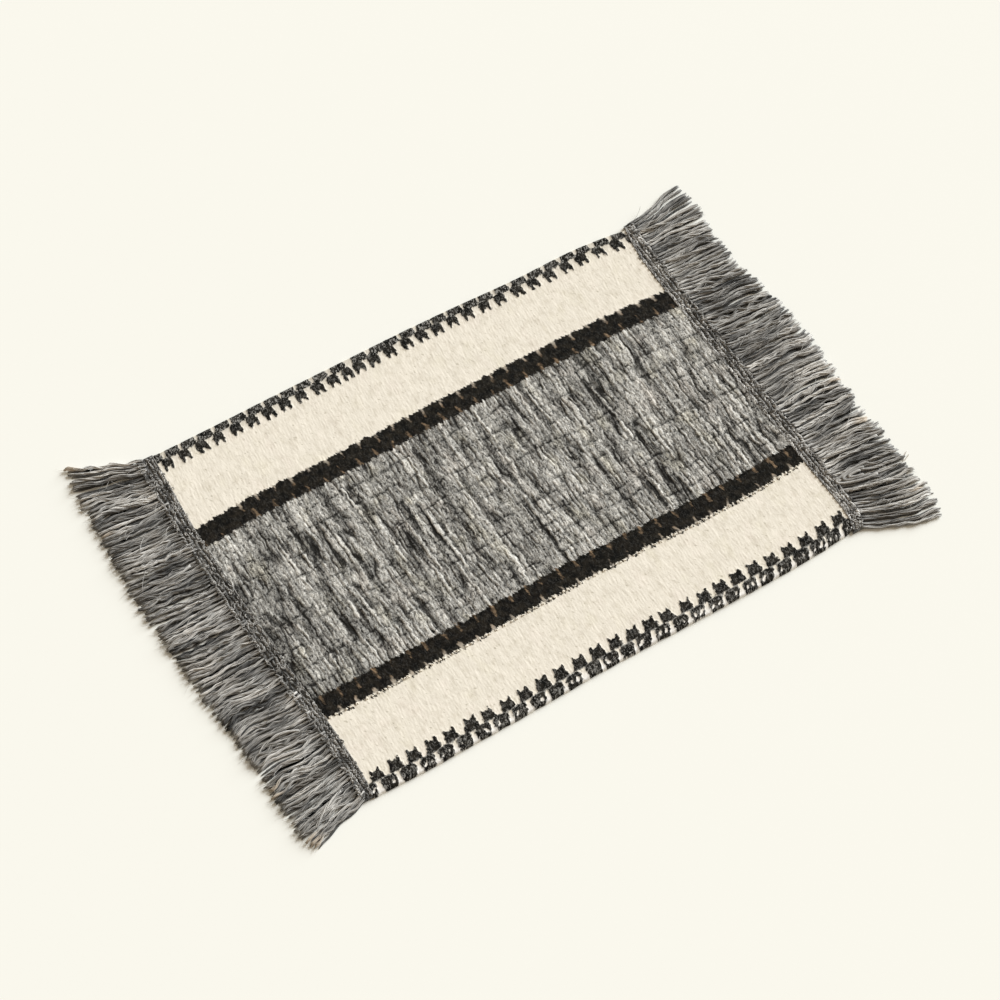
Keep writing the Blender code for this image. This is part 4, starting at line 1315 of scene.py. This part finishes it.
def fringe_frays(end, material, seed, paths, tone, weathered):
    """Frayed fibres at the yarns' tips: each starts a little back from the tip and leaves its
    yarn's line as it runs, aside = length (fan s + curl s^2), sinking to half its height."""
    chance = np.random.default_rng(seed)
    chosen = np.flatnonzero(chance.uniform(0, 1, len(paths)) < FRAYED)
    start, ahead = paths[chosen, -3], paths[chosen, -1] - paths[chosen, -4]
    count = len(start)
    forward = ahead / np.linalg.norm(ahead, axis=1, keepdims=True)
    side = np.cross(forward, (0, 0, 1.0))
    length = chance.uniform(0.0036, 0.0060, (count, 1, 1))
    stray = chance.uniform(0, 1, (count, 1, 1)) < FRINGE_WAYS[end]["long_frays"]
    length = length + stray * chance.uniform(0.001, 0.008, (count, 1, 1))
    fan, curl = chance.normal(0, 0.20, (count, 1, 1)), chance.normal(0, 0.18, (count, 1, 1))
    share = np.linspace(0, 1, 5)[None, :, None]
    line = start[:, None] + forward[:, None] * length * share
    line = line + side[:, None] * length * (fan * share + curl * share ** 2)
    stray, share = stray[..., 0], share[..., 0]
    z = line[..., 2] * (1 - 0.5 * share) + chance.uniform(0, 0.0008, (count, 1)) * share
    line[..., 2] = np.maximum(z, FRAY_FLOOR)
    half = FRAY_HALF * (1.15 - share) * chance.uniform(0.7, 1.3, (count, 1)) * (1 - 0.4 * stray)
    shade = tone[chosen] + 0.05 + 0.22 * stray + chance.normal(0, 0.10, (count, 1))
    tip = weathered[chosen] + 0.06 + 0.35 * stray
    return yarn_piece(f"fringe_{end}_frays", line, half, half, 3, np.clip(shade, 0, 1),
                      np.clip(tip, 0, 1), material)


def fringe_hairs(end, material, seed, paths):
    """Stray hairs that have worked loose over the strands: each starts at a place on a yarn and
    drifts aside as it runs outward, aside = length (lean s + curl s^2)."""
    chance, count = np.random.default_rng(seed), HAIRS
    begin = paths[chance.integers(0, len(paths), count), chance.integers(1, 15, count)]
    length = chance.uniform(0.004, 0.012, (count, 1))
    lean, curl = chance.normal(0, 0.30, (count, 1)), chance.normal(0, 0.35, (count, 1))
    share = np.linspace(0, 1, 8)[None]
    x = begin[:, :1] + FRINGE_WAYS[end]["outward"] * length * share * (1 - 0.2 * np.abs(curl) * share)
    y = begin[:, 1:2] + length * (lean * share + curl * share ** 2)
    z = HAIR_LEVEL + 0.0006 * np.sin(np.pi * share) * chance.uniform(0.2, 1, (count, 1))
    half = chance.uniform(0.00010, 0.00018, (count, 1))
    tone = chance.choice((0.12, 0.80), (count, 1), p=(0.4, 0.6))
    return yarn_piece(f"fringe_{end}_hairs", np.stack([x, y, z], -1), half, half, 3, tone, 0.0, material)


def heading_loops(end, material, seed):
    """Small loops of yarn that show between the heading's cords: open rings on the plan,
    r (cos w, 1.4 sin w), turned each by an angle of its own."""
    table, chance, count, steps = END_LINES[end], np.random.default_rng(seed), HEADING_LOOPS, 9
    y = chance.uniform(table[0, 0] + 0.003, table[-1, 0] - 0.003, (count, 1))
    share = chance.choice(LOOP_ROWS, (count, 1)) + chance.normal(0, 0.03, (count, 1))
    seam, root = smooth_line(table, SEAM, y), smooth_line(table, ROOT, y)
    start, swept = chance.uniform(0, 6, (count, 1)), chance.uniform(2.2, 4.4, (count, 1))
    angle = start + np.linspace(0, 1, steps)[None] * swept
    radius, turn = chance.uniform(0.0006, 0.0011, (count, 1)), chance.normal(0, 0.7, (count, 1))
    u, v = radius * np.cos(angle), 1.4 * radius * np.sin(angle)
    x = seam + (root - seam) * share + u * np.cos(turn) - v * np.sin(turn) + SHIFT
    z = HEADING_LOOP_LEVEL + 0.0005 * np.sin(np.linspace(0, np.pi, steps))[None] + 0 * x
    paths = np.stack([x, y + u * np.sin(turn) + v * np.cos(turn), z], -1)
    half = chance.uniform(0.00022, 0.00034, (count, 1))
    tone = chance.choice((0.18, 0.64), (count, 1), p=(0.45, 0.55)) + chance.normal(0, 0.08, (count, 1))
    return yarn_piece(f"heading_{end}_loops", paths, half, half, 4, tone, 0.0, material)


def seam_thread(end, material):
    """Pale running stitches along the heading's inner edge: a thread that rises over each
    stitch and dips between, z = level + rise max(cos w, -0.6)."""
    table = END_LINES[end]
    y = np.linspace(table[0, 0] + 0.002, table[-1, 0] - 0.002, 620)
    x = smooth_line(table, SEAM, y) + FRINGE_WAYS[end]["outward"] * 0.0004
    x = x + 0.00015 * lattice_noise(8, y / 0.004, 0.0)
    z = THREAD_LEVEL + THREAD_RISE * np.maximum(np.cos(2 * np.pi * y / STITCH), -0.6)
    paths = np.stack([x + SHIFT, y, z], -1)[None]
    return yarn_piece(f"heading_{end}_thread", paths, THREAD_HALF, THREAD_HALF, 5, 0.58, 0.0, material)


# ---- Operators -------------------------------------------------------------------------------

def attach(piece, node):
    """The piece rides with the mat and stands for a node, which is hidden."""
    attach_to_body(piece, "root")
    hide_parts(node)


class PLACEMAT_OT_weave_cloth(bpy.types.Operator):
    """Weave the marl centre and the two panels with their borders and black bands"""
    bl_idname = "placemat.weave_cloth"
    bl_label = "Weave Cloth"

    def execute(self, context):
        sizes = context.scene.placemat_cloth
        material = cloth_material(sizes)
        for name, column_step, spans in PANELS:
            panel = weave_panel(name, sizes, column_step, spans, material)
            attach(panel, "woven_ground")
        return {"FINISHED"}


class PLACEMAT_OT_lay_loops(bpy.types.Operator):
    """Lay the cream loops along the near black band"""
    bl_idname = "placemat.lay_loops"
    bl_label = "Lay Loops"

    def execute(self, context):
        sizes = context.scene.placemat_cloth
        attach(cream_loops(sizes, loop_material(sizes)), "woven_ground")
        return {"FINISHED"}


class PLACEMAT_OT_twine_headings(bpy.types.Operator):
    """Twine the heading cords along both ends of the cloth"""
    bl_idname = "placemat.twine_headings"
    bl_label = "Twine Headings"

    def execute(self, context):
        sizes = context.scene.placemat_fringe
        material = fringe_material("placemat_heading_yarn", sizes)
        for seed, end in ((101, "left"), (151, "right")):
            for piece in (heading_strip(end, material), heading_cords(end, sizes, material, seed),
                          heading_loops(end, material, seed + 1), seam_thread(end, material)):
                attach(piece, f"fringe_{end}")
        return {"FINISHED"}


class PLACEMAT_OT_hang_fringes(bpy.types.Operator):
    """Lay out the loose yarns of both fringes with their frayed tips"""
    bl_idname = "placemat.hang_fringes"
    bl_label = "Lay Out Fringes"

    def execute(self, context):
        sizes = context.scene.placemat_fringe
        material = fringe_material("placemat_fringe_yarn", sizes)
        for seed, end in ((201, "left"), (251, "right")):
            yarns, paths, tone, weathered = fringe_yarns(end, sizes, material, seed)
            pieces = [yarns, fringe_shade_layer(end, material, seed + 2),
                      fringe_hairs(end, material, seed + 3, paths),
                      fringe_frays(end, material, seed + 1, paths, tone, weathered),
                      fringe_strays(end, sizes, material, seed + 5)]
            if FRINGE_CURLS[end]:
                pieces.append(fringe_curls(end, material, seed + 4))
            for piece in pieces:
                attach(piece, f"fringe_{end}")
        return {"FINISHED"}


class PLACEMAT_OT_set_stage(bpy.types.Operator):
    """Set the pale floor, the soft light and the camera"""
    bl_idname = "placemat.set_stage"
    bl_label = "Set Stage"

    def execute(self, context):
        sizes, scene = context.scene.placemat_stage, context.scene
        shading = Shading("placemat_floor", roughness=0.85, sheen=0.0)
        position = shading.node("ShaderNodeTexCoord").outputs["Object"]
        cloud = shading.node("ShaderNodeTexNoise")
        shading.join(position, cloud.inputs["Vector"])
        cloud.inputs["Scale"].default_value = 2.5
        pale = scaled(sizes.floor, (1.01, 1.01, 1.01))
        shade = shading.mix(cloud.outputs["Fac"], tuple(sizes.floor), pale)
        floor = floor_plane(shading.finish(shade))

        world = bpy.data.worlds.new("placemat_sky")
        world.use_nodes = True
        background = world.node_tree.nodes["Background"]
        background.inputs["Color"].default_value = SKY_COLOUR
        background.inputs["Strength"].default_value = sizes.sky
        scene.world = world
        scene.view_settings.view_transform = "Standard"

        soft_sun(sizes)
        set_camera(sizes)
        return {"FINISHED"}


def floor_plane(material):
    """Flat square floor under the mat."""
    reach = 4.0
    mesh = bpy.data.meshes.new("floor")
    corners = ((-reach, -reach, 0), (reach, -reach, 0), (reach, reach, 0), (-reach, reach, 0))
    mesh.from_pydata(corners, [], [(0, 1, 2, 3)])
    mesh.materials.append(material)
    floor = bpy.data.objects.new("floor", mesh)
    bpy.context.scene.collection.objects.link(floor)
    return floor


def soft_sun(sizes):
    """Even soft light that comes from one direction."""
    light = bpy.data.lights.new("soft_light", "SUN")
    light.energy, light.angle, light.color = sizes.sun, sizes.sun_width, SUN_COLOUR
    lamp = bpy.data.objects.new("soft_light", light)
    lamp.rotation_euler = mathutils.Vector(SUN_FROM).to_track_quat("Z", "Y").to_euler()
    bpy.context.scene.collection.objects.link(lamp)


def set_camera(sizes):
    """Camera on a sphere round the picture's middle, at middle + distance (sin a cos e,
    -cos a cos e, sin e), and turned to it: azimuth 0 looks along +Y."""
    azimuth, elevation = sizes.azimuth, sizes.elevation
    back = np.array((math.sin(azimuth) * math.cos(elevation),
                     -math.cos(azimuth) * math.cos(elevation), math.sin(elevation)))
    middle = np.array(PICTURE_MIDDLE) + (SHIFT, 0.0, 0.0)
    camera_data = bpy.data.cameras.new("camera")
    camera_data.lens = sizes.lens
    camera = bpy.data.objects.new("camera", camera_data)
    camera.location = middle + back * sizes.distance
    camera.rotation_euler = (math.pi / 2 - elevation, 0.0, azimuth)
    bpy.context.scene.collection.objects.link(camera)
    bpy.context.scene.camera = camera


# ---- Panel and registration ------------------------------------------------------------------

OPERATORS = (PLACEMAT_OT_weave_cloth, PLACEMAT_OT_lay_loops, PLACEMAT_OT_twine_headings,
             PLACEMAT_OT_hang_fringes, PLACEMAT_OT_set_stage)
GROUPS = {"placemat_cloth": PlacematCloth, "placemat_fringe": PlacematFringe,
          "placemat_stage": PlacematStage}


class PLACEMAT_PT_panel(bpy.types.Panel):
    """Placemat tools in the 3D view's sidebar"""
    bl_label = "Placemat"
    bl_idname = "PLACEMAT_PT_panel"
    bl_space_type = "VIEW_3D"
    bl_region_type = "UI"
    bl_category = "Placemat"

    def draw(self, context):
        for name, group in GROUPS.items():
            box = self.layout.box()
            for key in group.__annotations__:
                box.prop(getattr(context.scene, name), key)
        for operator in OPERATORS:
            self.layout.operator(operator.bl_idname)


def register():
    """Adds the sizes to the scene, and the operators and the panel."""
    for name, group in GROUPS.items():
        bpy.utils.register_class(group)
        setattr(bpy.types.Scene, name, bpy.props.PointerProperty(type=group))
    for item in (*OPERATORS, PLACEMAT_PT_panel):
        bpy.utils.register_class(item)


def unregister():
    """Takes them away again."""
    for item in (PLACEMAT_PT_panel, *reversed(OPERATORS)):
        bpy.utils.unregister_class(item)
    for name, group in GROUPS.items():
        delattr(bpy.types.Scene, name)
        bpy.utils.unregister_class(group)


def main():
    """Makes every piece in turn."""
    register()
    bpy.ops.placemat.weave_cloth()
    bpy.ops.placemat.lay_loops()
    bpy.ops.placemat.twine_headings()
    bpy.ops.placemat.hang_fringes()
    bpy.ops.placemat.set_stage()


if __name__ == "__main__":
    main()
